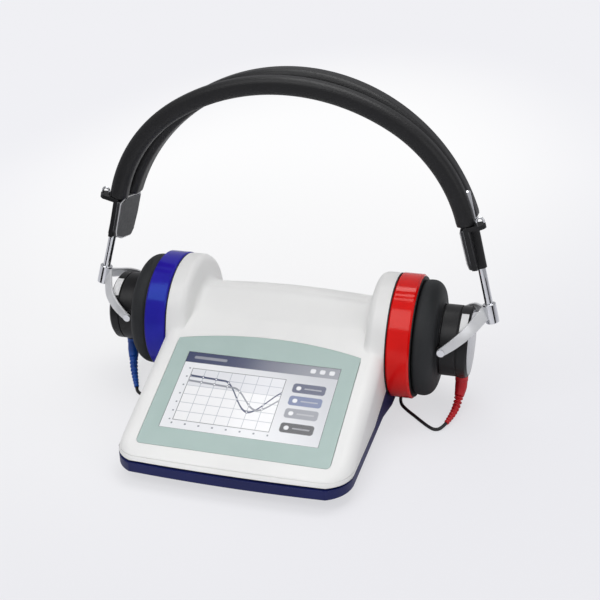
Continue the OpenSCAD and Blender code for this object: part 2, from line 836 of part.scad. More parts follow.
// Flat plate that joins the ends of both bands: its top falls away to the back
module plate_outline(d) {
    polygon([[block_front + d, 9 - d / 2], [block_front + d, plate_high - d], [-2, plate_high + 1.4 - d],
        [8.5, plate_high - 0.8 - d], [plate_back - d, plate_high - 5.5 - d],
        [plate_back - 0.4 - d, 11.4], [plate_back - 3.2 - d, plate_low + 4.7],
        [plate_back - 7.6 - d / 2, plate_low + d], [2.3 + d / 2, plate_low + 4.3 + d],
        [block_front + 2.4 + d, 3.3 + d / 2]]);
}

// Foot of the rear band's sleeve, in the clamp's frame
function rear_foot(y) = clamp_h + 0.3 - (y - rear_back) * tan(rear_tilt);

module end_bracket(s) {
    color("black") side(s) difference() {
        clamp_frame() {
            translate([block_in - plate_t, 0, 0]) rotate([90, 0, 90])
                linear_extrude(plate_t - seat / 2) plate_outline(0);
            translate([block_in - 1, 0, 0]) rotate([90, 0, 90]) linear_extrude(boss_t + 1)
                polygon([[boss_front, boss_low], [boss_front, rear_foot(boss_front)],
                    [boss_back, rear_foot(boss_back)], [boss_back - 2, boss_low]]);
        }
        rear_strip_shape(slot_gap);
    }
}

module end_bracket_left() { end_bracket(left); }
module end_bracket_right() { end_bracket(right); }

module keeper_plate(s) {
    color("gray") side(s) clamp_frame()
        translate([block_in - plate_t - keeper_t, 0, 0]) rotate([90, 0, 90])
            linear_extrude(keeper_t) plate_outline(keeper_inset);
}

module keeper_plate_left() { keeper_plate(left); }
module keeper_plate_right() { keeper_plate(right); }

module rod_clamp(s) {
    color("black") side(s) difference() {
        union() {
            clamp_frame() {
                translate([block_in, block_front, block_low])
                    cube([block_out - block_in, block_back - block_front, clamp_h - block_low]);
                translate([block_in, block_back - 4, block_low])
                    cube([-block_in, 6, clamp_h - block_low]);
                // Finger tab across the top
                translate([block_in, block_front, clamp_h])
                    cube([tab_out - block_in - 3, 9, tab_t]);
                translate([tab_out - 4.5, block_front + 4.5, clamp_h]) cylinder(r = 4.5, h = tab_t);
                translate([block_in, block_front, clamp_h])
                    cube([-block_in, -block_front + 3, tab_t]);
            }
            along_rod() cylinder(r = sleeve_r, h = clamp_h + tab_t);
        }
        along_rod() translate([0, 0, -5]) cylinder(r = rod_r + running, h = clamp_h + 20);
        front_strip_shape(slot_gap);
        clamp_frame() translate([hook_x(), hook_y(), clamp_h + tab_t - 2.5])
            cylinder(r = hook_r + seat, h = 5);
    }
}

function hook_x() = front_t / 2 - 2.3 + 0.4 + hook_r;
function hook_y() = block_front + 4.5;

module rod_clamp_left() { rod_clamp(left); }
module rod_clamp_right() { rod_clamp(right); }

module clamp_hooks() {
    color("silver") for (s = [left, right]) side(s) clamp_frame()
        translate([hook_x(), hook_y(), clamp_h + tab_t - 2]) {
            cylinder(r = hook_r, h = 4);
            translate([hook_bow_r, 0, 4]) rotate([90, 0, 0]) rotate_extrude(angle = 180)
                translate([hook_bow_r, 0]) circle(hook_r);
            translate([2 * hook_bow_r, 0, 2.4]) cylinder(r = hook_r, h = 1.6);
        }
}

module yoke_rod(s) {
    low = -clamp_up - barrel_l / 2 + barrel_cap + seat;
    color("silver") side(s) along_rod() {
        translate([0, 0, low]) cylinder(r = rod_r, h = rod_top - low - 1);
        translate([0, 0, rod_top - 1]) cylinder(r1 = rod_r, r2 = rod_r - 1, h = 1);
    }
}

module yoke_rod_left() { yoke_rod(left); }
module yoke_rod_right() { yoke_rod(right); }

// ---------------------------------------------------------------- earphones

module at_pins() {
    translate([pin_x, 0, pin_z]) children();
}

// The bow, flat: -X points from the pins to the barrel
module bow() {
    intersection() {
        difference() {
            circle(yoke_r + yoke_t / 2, $fn = 128);
            circle(yoke_r - yoke_t / 2, $fn = 128);
        }
        for (m = [-1, 1])
            polygon([[0, 0], [0, m * big], [-big * sin(bow_turn), m * big * cos(bow_turn)]]);
    }
    for (m = [-1, 1]) translate([-yoke_r * sin(bow_turn), m * yoke_r * cos(bow_turn)])
        rotate([0, 0, -m * (180 - bow_turn)]) translate([-0.5, -yoke_t / 2])
            square([yoke_r / tan(bow_turn) + 0.5, yoke_t]);
}

module yoke(s) {
    color("gainsboro") side(s) difference() {
        union() {
            at_pins() rotate([0, 90 - bow_tilt, 0]) {
                intersection() {
                    rotate([0, 90, 0]) translate([0, 0, -yoke_w / 2]) linear_extrude(yoke_w) bow();
                    rotate([90, 0, 0]) linear_extrude(4 * yoke_r, center = true)
                        polygon([[-yoke_end_w / 2, -1], [yoke_end_w / 2, -1],
                            [yoke_w / 2, bow_reach], [yoke_w / 2, bow_reach + 3],
                            [-yoke_w / 2, bow_reach + 3], [-yoke_w / 2, bow_reach]]);
                }
                for (y = [-1, 1]) translate([0, y * yoke_r, 0]) rotate([90, 0, 0])
                    cylinder(d = yoke_end_w, h = yoke_t, center = true);
            }
            along_rod() translate([0, 0, -clamp_up - barrel_l / 2]) cylinder(r = barrel_r, h = barrel_l);
        }
        along_rod() translate([0, 0, -clamp_up - barrel_l / 2 + barrel_cap])
            cylinder(r = rod_r + running, h = barrel_l);
        at_pins() rotate([90, 0, 0]) cylinder(r = pin_r + seat, h = 2 * yoke_r + 10, center = true);
    }
}

module yoke_left() { yoke(left); }
module yoke_right() { yoke(right); }

module yoke_pins(s) {
    color("silver") side(s) at_pins() for (y = [-1, 1]) rotate([90 * y, 0, 0]) {
        translate([0, 0, shell_r - 4.5]) cylinder(r = pin_r, h = yoke_r + yoke_t / 2 - shell_r + 4.5);
        translate([0, 0, yoke_r + yoke_t / 2]) cylinder(r = pin_r + 1.1, h = 0.8);
    }
}

module yoke_pins_left() { yoke_pins(left); }
module yoke_pins_right() { yoke_pins(right); }

module shell_profile() {
    rim_x = shell_end_x - rim_t;
    polygon([[0, shell_x], [shell_r - 1, shell_x], [shell_r - 1, shell_x + 3],
        [shell_r + 0.2, shell_x + 3.6], [shell_r + 0.2, rim_x - groove_t],
        [shell_r - 0.9, rim_x - groove_t], [shell_r - 0.9, rim_x], [shell_r, rim_x],
        [shell_r, shell_end_x - 1.5], [shell_r - 1.5, shell_end_x], [0, shell_end_x]]);
}

module earphone_shell(s) {
    color("black") side(s) difference() {
        union() {
            about_dock() shell_profile();
            at_pins() rotate([90, 0, 0]) cylinder(r = 3.6, h = 2 * (shell_r + 1.6), center = true);
            translate([exit_x, 0, dock_h - shell_r - exit_drop]) cylinder(r = exit_r, h = 5);
        }
        about_dock() polygon([[0, shell_x - 1], [driver_seat_r, shell_x - 1],
            [driver_seat_r, shell_x + 9], [driver_seat_r - 2, shell_x + 9],
            [driver_seat_r - 2, shell_end_x - 3], [0, shell_end_x - 3]]);
        about_dock() translate([0, shell_end_x - 2]) square([cap_r + seat, 3]);
        at_pins() rotate([90, 0, 0]) cylinder(r = pin_r + running, h = big, center = true);
        translate([exit_x, 0, dock_h - shell_r - exit_drop - 1]) cylinder(r = 1.6, h = 10);
    }
}

module earphone_shell_left() { earphone_shell(left); }
module earphone_shell_right() { earphone_shell(right); }

module earphone_cap(s) {
    ball_r = (pow(cap_r, 2) + pow(cap_rise, 2)) / (2 * cap_rise);
    color("silver") side(s) {
        about_dock() translate([0, shell_end_x - 2]) square([cap_r, 2]);
        about_dock() intersection() {
            translate([0, shell_end_x + cap_rise - ball_r]) circle(ball_r, $fn = 720);
            translate([0, shell_end_x - eps]) square([cap_r, cap_rise + 1]);
        }
    }
}

module earphone_cap_left() { earphone_cap(left); }
module earphone_cap_right() { earphone_cap(right); }

module earphone_label(s) {
    start = shell_end_x - rim_t + 0.5;
    color("white") side(s) translate([0, 0, dock_h]) rotate([label_mid - label_span / 2, 0, 0])
        rotate([0, 90, 0]) rotate([0, 0, 90]) translate([0, 0, 0])
            rotate_extrude(angle = label_span, $fn = 128)
                translate([shell_r + seat / 2, start]) square([label_t, label_w - 1]);
}

module earphone_label_left() { earphone_label(left); }
module earphone_label_right() { earphone_label(right); }

module driver(s) {
    color("dimgray") side(s) about_dock() {
        polygon([[0, shell_x + 0.5], [driver_seat_r - seat, shell_x + 0.5],
            [driver_seat_r - seat, shell_x + 2], [driver_r - 0.5, shell_x + 2],
            [driver_r - 0.5, shell_x + 10], [0, shell_x + 10]]);
    }
}

module driver_left() { driver(left); }
module driver_right() { driver(right); }

// The cushion: flat on the dock, crowned outside, drawn in towards the shell
module cushion_profile() {
    flat = 5;
    sweep_r = cushion_t - flat - 2;
    polygon(concat(
        [[11, cushion_x + 1.5], [13, cushion_x], [cushion_r - 2, cushion_x],
            [cushion_r - 0.6, cushion_x + 0.6]],
        [for (a = [0 : 10 : 90]) [cushion_r - 11 + 11 * cos(a) + 0.3 * sin(2 * a),
            cushion_x + flat + sweep_r * sin(a)]],
        [[shell_r + 0.8, cushion_x + cushion_t - 2], [shell_r - 0.9, cushion_x + cushion_t - 1],
            [shell_r - 0.9, shell_x - seat], [16, shell_x - seat], [11, shell_x - 3]]));
}

module ear_cushion(s) {
    color("dimgray") side(s) about_dock() cushion_profile();
}

module ear_cushion_left() { ear_cushion(left); }
module ear_cushion_right() { ear_cushion(right); }

// -------------------------------------------------------------------- leads

module cord_boot_left() {
    color("royalblue") at_dock() swept(boot_points_left, boot_radii, 12);
}

module cord_boot_right() {
    color("crimson") at_dock() swept(boot_points_right, boot_radii, 12);
}

module lead_left() {
    color("black") at_dock() swept(route_left, lead_d / 2, 8);
}

module lead_right() {
    color("black") at_dock() swept(route_right, lead_d / 2, 8);
}

// A coil starts heading away from its side of the object, on its outermost turn
module at_coil(s) {
    start = s < 0 ? coil_start_left : coil_start_right;
    at_dock() translate(start) mirror([s < 0 ? 0 : 1, 0, 0])
        translate([lead_d, coil_out_r, 0]) children();
}

module lead_coil(s) {
    color("black") at_coil(s) rotate([0, 0, -90]) swept(coil_points, lead_d / 2, coil_sides);
}

module lead_coil_left() { lead_coil(left); }
module lead_coil_right() { lead_coil(right); }

module lead_tail(s) {
    start = s < 0 ? coil_start_left : coil_start_right;
    from = start + [-s * 2 * lead_d, 0, coil_height];
    mid = s < 0 ? tail_left : tail_right;
    end = [mid[len(mid) - 1][0], rear_reach + plug_l + plug_relief_l, jack_z];
    color("black") at_dock()
        swept(concat([from, from + [-s * lead_d, 0, 0]], mid, [end + [0, lead_d, 0], end]),
            lead_d / 2, 8);
}

module lead_tail_left() { lead_tail(left); }
module lead_tail_right() { lead_tail(right); }

module coil_ties() {
    w = coil_columns * coil_pitch + lead_d + 2 * seat;
    h = coil_height + lead_d + 2 * seat;
    color("black") for (s = [left, right]) at_coil(s)
        translate([0, coil_mid_r, coil_height / 2]) rotate([0, 90, 0]) difference() {
            cube([h + 2 * tie_t, w + 2 * tie_t, tie_w], center = true);
            cube([h, w, tie_w + 2], center = true);
        }
}

module lead_plug(s) {
    x = s < 0 ? jack_x[0] : jack_x[1];
    color(s < 0 ? "royalblue" : "crimson") at_dock() translate([x, rear_reach, jack_z])
        rotate([-90, 0, 0]) {
            cylinder(r = plug_r, h = plug_l);
            translate([0, 0, plug_l]) cylinder(r1 = plug_r - 1, r2 = plug_relief_r, h = plug_relief_l);
            translate([0, 0, -plug_pin_l]) cylinder(r = jack_r - seat, h = plug_pin_l + 1);
        }
}

module lead_plug_left() { lead_plug(left); }
module lead_plug_right() { lead_plug(right); }

bottom_cover();
top_housing();
screen_overlay();
touch_glass();
display_module();
display_bracket();
main_board();
board_components();
rear_panel();
rear_jacks();
usb_socket();
power_socket();
power_rocker();
rubber_feet();
case_screws();
dock_ring_left();
dock_ring_right();
dock_seals();
coupler_left();
coupler_right();
reference_microphones();
front_band_sleeve();
front_band_strip();
rear_band_sleeve();
rear_band_strip();
end_bracket_left();
end_bracket_right();
keeper_plate_left();
keeper_plate_right();
rod_clamp_left();
rod_clamp_right();
clamp_hooks();
yoke_rod_left();
yoke_rod_right();
yoke_left();
yoke_right();
yoke_pins_left();
yoke_pins_right();
earphone_shell_left();
earphone_shell_right();
earphone_cap_left();
earphone_cap_right();
earphone_label_left();
earphone_label_right();
driver_left();
driver_right();
ear_cushion_left();
ear_cushion_right();
cord_boot_left();
cord_boot_right();
lead_left();
lead_right();
lead_coil_left();
lead_coil_right();
lead_tail_left();
lead_tail_right();
coil_ties();
lead_plug_left();
lead_plug_right();
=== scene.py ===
import bpy
import json
import math
from math import radians
import numpy as np
from mathutils import Matrix, Vector


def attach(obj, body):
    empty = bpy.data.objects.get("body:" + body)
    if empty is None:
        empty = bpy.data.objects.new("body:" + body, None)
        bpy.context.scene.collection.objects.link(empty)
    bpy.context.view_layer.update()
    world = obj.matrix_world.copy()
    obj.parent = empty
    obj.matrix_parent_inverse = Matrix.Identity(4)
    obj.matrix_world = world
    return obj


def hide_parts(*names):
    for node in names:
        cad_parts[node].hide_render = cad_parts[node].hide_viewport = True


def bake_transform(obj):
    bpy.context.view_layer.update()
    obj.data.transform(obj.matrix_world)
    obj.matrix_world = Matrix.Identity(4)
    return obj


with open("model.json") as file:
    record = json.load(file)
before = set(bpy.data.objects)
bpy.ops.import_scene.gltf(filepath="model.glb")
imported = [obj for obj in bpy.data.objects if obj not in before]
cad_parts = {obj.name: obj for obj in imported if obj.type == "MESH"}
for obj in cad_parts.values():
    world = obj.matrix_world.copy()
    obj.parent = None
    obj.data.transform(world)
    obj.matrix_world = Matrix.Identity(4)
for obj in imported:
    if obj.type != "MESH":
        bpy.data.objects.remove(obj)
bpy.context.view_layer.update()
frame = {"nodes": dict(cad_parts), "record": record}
print("frame loaded")

# Lengths are millimetres measured from the point under the middle of the dock axis,
# which lies dockY behind the frame's origin. inFrame turns them into Blender's metres.
dockY = 53.35
dockH = 51.5
halfW = 79.3
sideName = {1: "right", -1: "left"}


def inFrame(points):
    return (np.asarray(points, float) + (0, dockY, 0)) / 1000


def addObject(name, data):
    made = bpy.data.objects.new(name, data)
    bpy.context.scene.collection.objects.link(made)
    return made


# ---- camera: solved from the photograph's screen, rings and bands
cameraPlan = {"at": (0.2259, -0.66405, 0.4290), "yaw": 16.90, "pitch": 25.57, "roll": -1.527,
              "lens": 69.28, "sensor": 36}


def makeCamera(plan):
    a, e, r = (radians(plan[k]) for k in ("yaw", "pitch", "roll"))
    back = Vector((math.sin(a) * math.cos(e), -math.cos(a) * math.cos(e), math.sin(e)))
    right = Vector((math.cos(a), math.sin(a), 0))
    up = back.cross(right)
    right, up = right * math.cos(r) + up * math.sin(r), up * math.cos(r) - right * math.sin(r)
    data = bpy.data.cameras.new("camera")
    data.lens = plan["lens"]
    data.sensor_width = plan["sensor"]
    data.clip_start, data.clip_end = 0.01, 50
    made = addObject("camera", data)
    made.matrix_world = Matrix.Translation(plan["at"]) @ Matrix((right, up, back)).transposed().to_4x4()
    bpy.context.scene.camera = made


makeCamera(cameraPlan)


# ---- mesh helpers
# A grid of points (rows, columns, 3) becomes quads. Each row closes on itself. The
# last row joins the first one in a loop, and else a flat face shuts either end.
def gridMesh(name, grid, loop=False, sharp=35):
    rows, cols = grid.shape[:2]
    index = np.arange(rows * cols).reshape(rows, cols)
    across = np.hstack([index, index[:, :1]])
    down = np.vstack([across, across[:1]]) if loop else across
    quads = np.stack([down[:-1, :-1], down[:-1, 1:], down[1:, 1:], down[1:, :-1]], -1).reshape(-1, 4)
    corner = grid.reshape(-1, 3)
    a, b, c, d = (corner[quads[:, i]] for i in range(4))
    volume = np.einsum("ij,ij->", a, np.cross(b, c)) + np.einsum("ij,ij->", a, np.cross(c, d))
    faces = quads.tolist()
    if not loop:
        faces += [index[0, ::-1].tolist(), index[-1].tolist()]
    if volume < 0:
        faces = [face[::-1] for face in faces]
    mesh = bpy.data.meshes.new(name)
    mesh.from_pydata(corner.tolist(), [], faces)
    mesh.update()
    mesh.shade_smooth()
    mesh.set_sharp_from_angle(angle=radians(sharp))
    return addObject(name, mesh)


# A closed profile of (radius, x) turned about the dock axis.
def revolve(name, profile, side, steps, sharp):
    profile = np.asarray(profile, float)
    turn = fullTurn(steps)
    radius, x = profile[:, :1], profile[:, 1:]
    grid = np.stack([side * x + 0 * turn, radius * np.cos(turn), dockH + radius * np.sin(turn)], -1)
    return gridMesh(name, inFrame(grid), loop=True, sharp=sharp)


# A Catmull-Rom curve through the points, evenly spaced.
def smoothPath(points, spacing, fine=12):
    p = np.asarray(points, float)
    ends = np.vstack([2 * p[0] - p[1], p, 2 * p[-1] - p[-2]])
    t = np.linspace(0, 1, fine, endpoint=False)[:, None, None]
    a, b, c, d = ends[:-3], ends[1:-2], ends[2:-1], ends[3:]
    curve = 0.5 * (2 * b + (c - a) * t + (2 * a - 5 * b + 4 * c - d) * t ** 2
                   + (3 * b - a - 3 * c + d) * t ** 3)
    return evenly(np.vstack([curve.transpose(1, 0, 2).reshape(-1, 3), p[-1:]]), spacing)


# The distance run at each point of a polyline
def runOf(points):
    return np.concatenate([[0], np.cumsum(np.linalg.norm(np.diff(points, axis=0), axis=1))])


def evenly(points, spacing):
    run = runOf(points)
    count = max(2, int(round(run[-1] / spacing)) + 1)
    at = np.linspace(0, run[-1], count)
    return np.stack([np.interp(at, run, points[:, i]) for i in range(3)], 1)


def lengthOf(points):
    return float(runOf(points)[-1])


def unit(vectors):
    return vectors / np.linalg.norm(vectors, axis=-1, keepdims=True)


def fullTurn(steps):
    return np.linspace(0, 2 * np.pi, steps, endpoint=False)


def quarterTurn(steps):
    return np.linspace(0, np.pi / 2, steps)


# A round tube whose rings turn as little as they can from one to the next.
def tubeGrid(path, radius, sides):
    path = np.asarray(path, float)
    ahead = unit(np.gradient(path, axis=0))
    frames = [unit(np.cross(ahead[0], (0.31, 0.22, 0.9)))]
    for direction in ahead[1:]:
        frames.append(unit(frames[-1] - direction * frames[-1].dot(direction)))
    across = np.array(frames)
    over = np.cross(ahead, across)
    turn = fullTurn(sides)[:, None]
    radius = np.broadcast_to(np.asarray(radius, float), (len(path),))[:, None, None]
    return path[:, None] + radius * (np.cos(turn) * across[:, None] + np.sin(turn) * over[:, None])


# A rectangle with round corners, as points round its middle.
def roundedOutline(width, height, radius, steps):
    turn = quarterTurn(steps)
    corner = radius * np.stack([np.cos(turn), np.sin(turn)], 1)
    out = []
    for k, (sx, sy) in enumerate([(1, 1), (-1, 1), (-1, -1), (1, -1)]):
        c, s = math.cos(k * math.pi / 2), math.sin(k * math.pi / 2)
        middle = (sx * (width / 2 - radius), sy * (height / 2 - radius))
        out.append(corner @ np.array([[c, s], [-s, c]]) + middle)
    return np.vstack(out)


# ---- shader helpers
# A shader socket that does arithmetic, from either side, such as 1 - mask.
class Signal:
    def __init__(self, graph, socket):
        self.graph, self.socket = graph, socket

    def __add__(self, other):
        return self.graph.math("ADD", self, other)

    def __sub__(self, other):
        return self.graph.math("SUBTRACT", self, other)

    def __rsub__(self, other):
        return self.graph.math("SUBTRACT", other, self)

    def __mul__(self, other):
        return self.graph.math("MULTIPLY", self, other)

    __radd__, __rmul__ = __add__, __mul__

    def __truediv__(self, other):
        return self.graph.math("DIVIDE", self, other)

    def __pow__(self, other):
        return self.graph.math("POWER", self, other)

    def abs(self):
        return self.graph.math("ABSOLUTE", self)

    def fract(self):
        return self.graph.math("FRACT", self)

    def most(self, other):
        return self.graph.math("MAXIMUM", self, other)

    def least(self, other):
        return self.graph.math("MINIMUM", self, other)

    # 0 under low, 1 over high, and a smooth step between
    def ramp(self, low, high):
        made = self.graph.node("MapRange", {"interpolation_type": "SMOOTHSTEP"}, {
            "Value": self, "From Min": low, "From Max": high, "To Min": 0.0, "To Max": 1.0})
        return Signal(self.graph, made.outputs["Result"])


class Graph:
    def __init__(self, name):
        self.material = bpy.data.materials.new(name)
        self.material.use_nodes = True
        self.tree = self.material.node_tree
        self.main = self.tree.nodes["Principled BSDF"]
        self.place = Signal(self, self.node("TexCoord").outputs["Object"])

    def node(self, kind, settings=(), values=()):
        made = self.tree.nodes.new("ShaderNode" + kind)
        for key, value in dict(settings).items():
            setattr(made, key, value)
        for key, value in dict(values).items():
            self.feed(made.inputs[key], value)
        return made

    def feed(self, socket, value):
        if isinstance(value, Signal):
            self.tree.links.new(value.socket, socket)
        else:
            socket.default_value = value

    def math(self, operation, *values):
        made = self.node("Math", {"operation": operation}, enumerate(values))
        return Signal(self, made.outputs[0])

    # The Mix node keeps its colours on inputs 6 and 7 and on output 2
    def mix(self, first, second, factor):
        made = self.node("Mix", {"data_type": "RGBA"}, {0: factor, 6: first, 7: second})
        return Signal(self, made.outputs[2])

    def axes(self):
        made = self.node("SeparateXYZ", {}, {"Vector": self.place})
        return [Signal(self, made.outputs[k]) for k in "XYZ"]

    def noise(self, scale, detail=2.0):
        made = self.node("TexNoise", {}, {"Vector": self.place, "Scale": scale, "Detail": detail})
        return Signal(self, made.outputs["Fac"])

    def cells(self, scale):
        made = self.node("TexVoronoi", {}, {"Vector": self.place, "Scale": scale})
        return Signal(self, made.outputs["Distance"])

    def rounded(self, radius):
        return Signal(self, self.node("Bevel", {"samples": 4}, {"Radius": radius}).outputs["Normal"])

    # One height signal in metres becomes the normal, over edges that a bevel rounds.
    def relief(self, height, bevel=0.0):
        values = {"Height": height, "Distance": 1.0, "Strength": 1.0}
        if bevel:
            values["Normal"] = self.rounded(bevel)
        bump = self.node("Bump", {}, values)
        self.set(Normal=Signal(self, bump.outputs["Normal"]))

    def set(self, **values):
        for key, value in values.items():
            self.feed(self.main.inputs[key.replace("_", " ")], value)


def rgb(*parts):
    def linear(c):
        c /= 255
        return c / 12.92 if c <= 0.04045 else ((c + 0.055) / 1.055) ** 2.4
    return (*(linear(c) for c in parts), 1.0)


def paint(color, shade, **more):
    return {"color": rgb(*color), "shade": rgb(*shade), **more}


# The plain recipe: cloudy colour, fine grain in gloss and relief, and edges that are partly worn and
# partly a painted highlight.
def finish(name, look):
    g = Graph(name)
    cloud = g.noise(look.get("cloud", 40.0), 3.0)
    grain = g.noise(look.get("grain", 2500.0))
    blotch = cloud.ramp(0.35, 0.7) * look.get("vary", 0.5) + grain * look.get("speck", 0.1)
    tone = g.mix(look["color"], look["shade"], blotch)
    # The rounded normal leaves the flat one only near an edge
    flat = Signal(g, g.node("NewGeometry").outputs["Normal"])
    soft = g.rounded(look.get("edge", 0.0005))
    turned = g.node("VectorMath", {"operation": "DOT_PRODUCT"}, {0: soft, 1: flat})
    # Edge mask: the edges take the edge colour, partly as wear and partly as a painted highlight
    worn = (1 - Signal(g, turned.outputs["Value"])).ramp(0.02, 0.25) * look.get("worn", 0.15)
    tone = g.mix(tone, look.get("bareColor", look["shade"]), worn)
    rough = look["rough"] + (cloud - 0.5) * look.get("roughCloud", 0.08)
    rough = rough + (grain - 0.5) * look.get("roughGrain", 0.06)
    g.set(Base_Color=tone, Metallic=look.get("metal", 0.0), Roughness=rough)
    if "specular" in look:
        g.set(Specular_IOR_Level=look["specular"])
    if "tint" in look:
        g.set(Specular_Tint=look["tint"])
    height = grain * look.get("depth", 0.00001)
    if "pebble" in look:
        height = height + g.cells(look["pebble"]).ramp(0.1, 0.7) * look["pebbleDepth"]
    if "ledge" in look:
        height = height + ledge(g, look["ledge"])
    g.relief(height, look.get("round", 0.0003))
    return g.material


# A small ledge at one height over the joint line, which climbs to the rear.
def ledge(g, plan):
    y, z = g.axes()[1:]
    climb = (y * 1000 - (dockY + plan["from"])).most(0.0).least(plan["run"]) * plan["slope"]
    above = z * 1000 - climb - plan["line"]
    return (1 - above.ramp(plan["up"], plan["up"] + plan["soft"])) * plan["depth"]


def dress(made, material):
    made.data.materials.clear()
    made.data.materials.append(material)
    return made


# ---- cords: the same routes as the CAD's, so they come first
leadD = 2.4
leadZ = 1.3


# Points of a lead that lies on the table
def lying(*points):
    return [(x, y, leadZ) for x, y in points]


bootPoints = {
    1: [(126.5, 0, 24.5), (126.5, 0, 20.5), (126.5, -2, 15.5), (126, -6, 10.5), (125.5, -12, 6.5),
        (124.5, -19, 4.5), (123, -26, 3.5), (121.5, -32.5, 3)],
    -1: [(-126.5, 0, 24.5), (-126.5, 0, 20.5), (-125, -4.5, 16), (-122.5, -11, 12), (-119.5, -18, 8.8),
         (-116, -25, 6), (-112.5, -31.5, 4.2), (-109, -38, 3.1)],
}
bootRadii = [4.6, 4.6, 4.5, 3.6, 3.3, 2.9, 2.5, 2.1]
routes = {
    1: [(121.3, -33, 3), (120, -36, 2.5), (117.5, -39, 1.6)]
    + lying((114, -39.5), (110, -37), (105, -32.5), (98, -25.5), (91, -18.5), (86, -12), (83.5, -4),
            (82.5, 7), (82, 19), (80, 32), (75, 44), (67, 54), (56, 61), (44, 64))
    + [(36, 64, 2.3), (34, 64, 2.3)],
    -1: [(-108.8, -38.5, 3.1), (-107, -41.5, 2.4), (-104, -43.5, 1.6)]
    + lying((-100.5, -43), (-97, -39), (-94.5, -32), (-92, -23), (-89, -13), (-85.5, -3), (-83.5, 8),
            (-82.5, 20), (-81, 33), (-78, 45), (-73, 55), (-66, 61.5))
    + [(-60, 64, 1.8), (-56, 64, 2.3), (-54, 64, 2.3)],
}
tails = {
    1: [(20, 64.5, 11.5), (12, 66.5, 13), (4, 70, 16), (-3, 76, 19.5), (-9, 83.5, 23), (-14.5, 90, 26.5),
        (-20, 92, 28.5), (-23.5, 87.5, 29), (-24, 80, 29)],
    -1: [(-42, 64.5, 11.5), (-35.5, 67, 13), (-31, 72.5, 16.5), (-29, 80, 20.5), (-30.5, 87.5, 24.5),
         (-35, 91.5, 28), (-39.5, 88, 29), (-40, 80, 29)],
}
coilPlan = {"columns": 4, "layers": 4, "pitch": leadD + 0.5, "middle": 14.0, "steps": 40}
# "rests" counts the route's points down to where the lead lies still beside the base
cordPlan = {"spacing": 1.6, "sides": 10, "plugY": 70, "plugZ": 29, "rests": {1: 9, -1: 8}}


# The stored coil: radius runs steadily in and out by one pitch a turn, and height
# climbs one pitch in each half turn where the radius turns back.
def coilPath(side, plan):
    columns, layers, pitch = plan["columns"], plan["layers"], plan["pitch"]
    s = np.linspace(0, columns * layers, columns * layers * plan["steps"] + 1)
    fold = np.abs(s - 2 * columns * np.round(s / (2 * columns)))
    radius = plan["middle"] + (columns / 2 - fold) * pitch
    height = pitch * sum(np.clip(2 * (s - k * columns) + 0.5, 0, 1) for k in range(1, layers))
    x, y = radius * np.cos(2 * np.pi * s), radius * np.sin(2 * np.pi * s)
    turned = np.stack([y + leadD, radius[0] - x, height], 1)
    return turned * (1 if side < 0 else -1, 1, 1) + routes[side][-1]


def cordLine(side, plan):
    top = (coilPlan["layers"] - 1) * coilPlan["pitch"]
    lift = np.array(routes[side][-1]) + (-side * 2 * leadD, 0, top)
    endX = tails[side][-1][0]
    tail = [tuple(lift), tuple(lift + (-side * leadD, 0, 0))] + tails[side]
    tail += [(endX, plan["plugY"] + leadD, plan["plugZ"]), (endX, plan["plugY"], plan["plugZ"])]
    away = smoothPath(routes[side], plan["spacing"])
    return np.vstack([away[:-1], coilPath(side, coilPlan), smoothPath(tail, plan["spacing"])])


cordLook = paint((22, 22, 24), (38, 38, 41), rough=0.42, grain=1800.0, cloud=90.0, worn=0.1)
cordBlack = finish("cordBlack", cordLook)
cords = {}
cordLines = {}
for side in (1, -1):
    line = inFrame(cordLine(side, cordPlan))
    grid = tubeGrid(line, leadD / 2000, cordPlan["sides"])
    made = gridMesh("lead_" + sideName[side] + "_cord", grid, sharp=60)
    dress(made, cordBlack)
    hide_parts(*("lead" + part + "_" + sideName[side] for part in ("", "_coil", "_tail")))
    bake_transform(made)
    cords[side], cordLines[side] = made, line
    print("cord", sideName[side], round(lengthOf(line), 3), "m")

# The moulded strain reliefs: a smooth sleeve, then a ridged taper. Each is three
# pieces end to end, so that each crosses one joint of the earphone's hanger.
rubber = {"rough": 0.4, "grain": 1600.0, "cloud": 120.0, "depth": 0.00002, "worn": 0.1}
bootLook = {
    1: paint((206, 14, 30), (168, 8, 20), **rubber),
    -1: paint((18, 84, 178), (10, 55, 135), **rubber),
}
bootPlan = {"ridges": 9, "ridgeDepth": 1.5, "ridgeFrom": 0.36, "core": 1.45, "collarTo": 0.1,
            "sleeveIn": 0.25, "neckFrom": 0.34, "neckRun": 0.03, "neckIn": 0.3, "spacing": 0.25,
            "sides": 28, "cuts": (0.0, 0.22, 0.48, 1.0)}


# Radius along the boot: the CAD's taper, less a cosine groove for each ridge, less
# a small step behind the collar and a ramp at the first ridge.
def bootRings(side, plan):
    line = smoothPath(bootPoints[side], plan["spacing"])
    run = np.linspace(0, 1, len(line))
    knots = runOf(bootPoints[side])
    radius = np.interp(run, knots / knots[-1], bootRadii)
    ridged = plan["ridgeFrom"]
    phase = np.clip((run - ridged) / (1 - ridged), 0, 1) * plan["ridges"]
    groove = (0.5 + 0.5 * np.cos(2 * np.pi * phase)) * plan["ridgeDepth"] * (run > ridged)
    step = plan["sleeveIn"] * (run >= plan["collarTo"]) * (run < ridged)
    neck = plan["neckIn"] * np.clip((run - plan["neckFrom"]) / plan["neckRun"], 0, 1)
    return line, np.maximum(radius - groove - (step + neck), plan["core"])


boots = {}
for side in (1, -1):
    word = sideName[side]
    material = finish("boot_" + word + "_rubber", bootLook[side])
    line, radius = bootRings(side, bootPlan)
    grid = tubeGrid(inFrame(line), radius / 1000, bootPlan["sides"])
    cuts = [int(round(c * (len(line) - 1))) for c in bootPlan["cuts"]]
    boots[side] = []
    for k in range(3):
        piece = gridMesh(f"boot_{word}_{k + 1}", grid[cuts[k]:cuts[k + 1] + 1], sharp=50)
        dress(piece, material)
        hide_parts("cord_boot_" + word)
        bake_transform(piece)
        boots[side].append(piece)

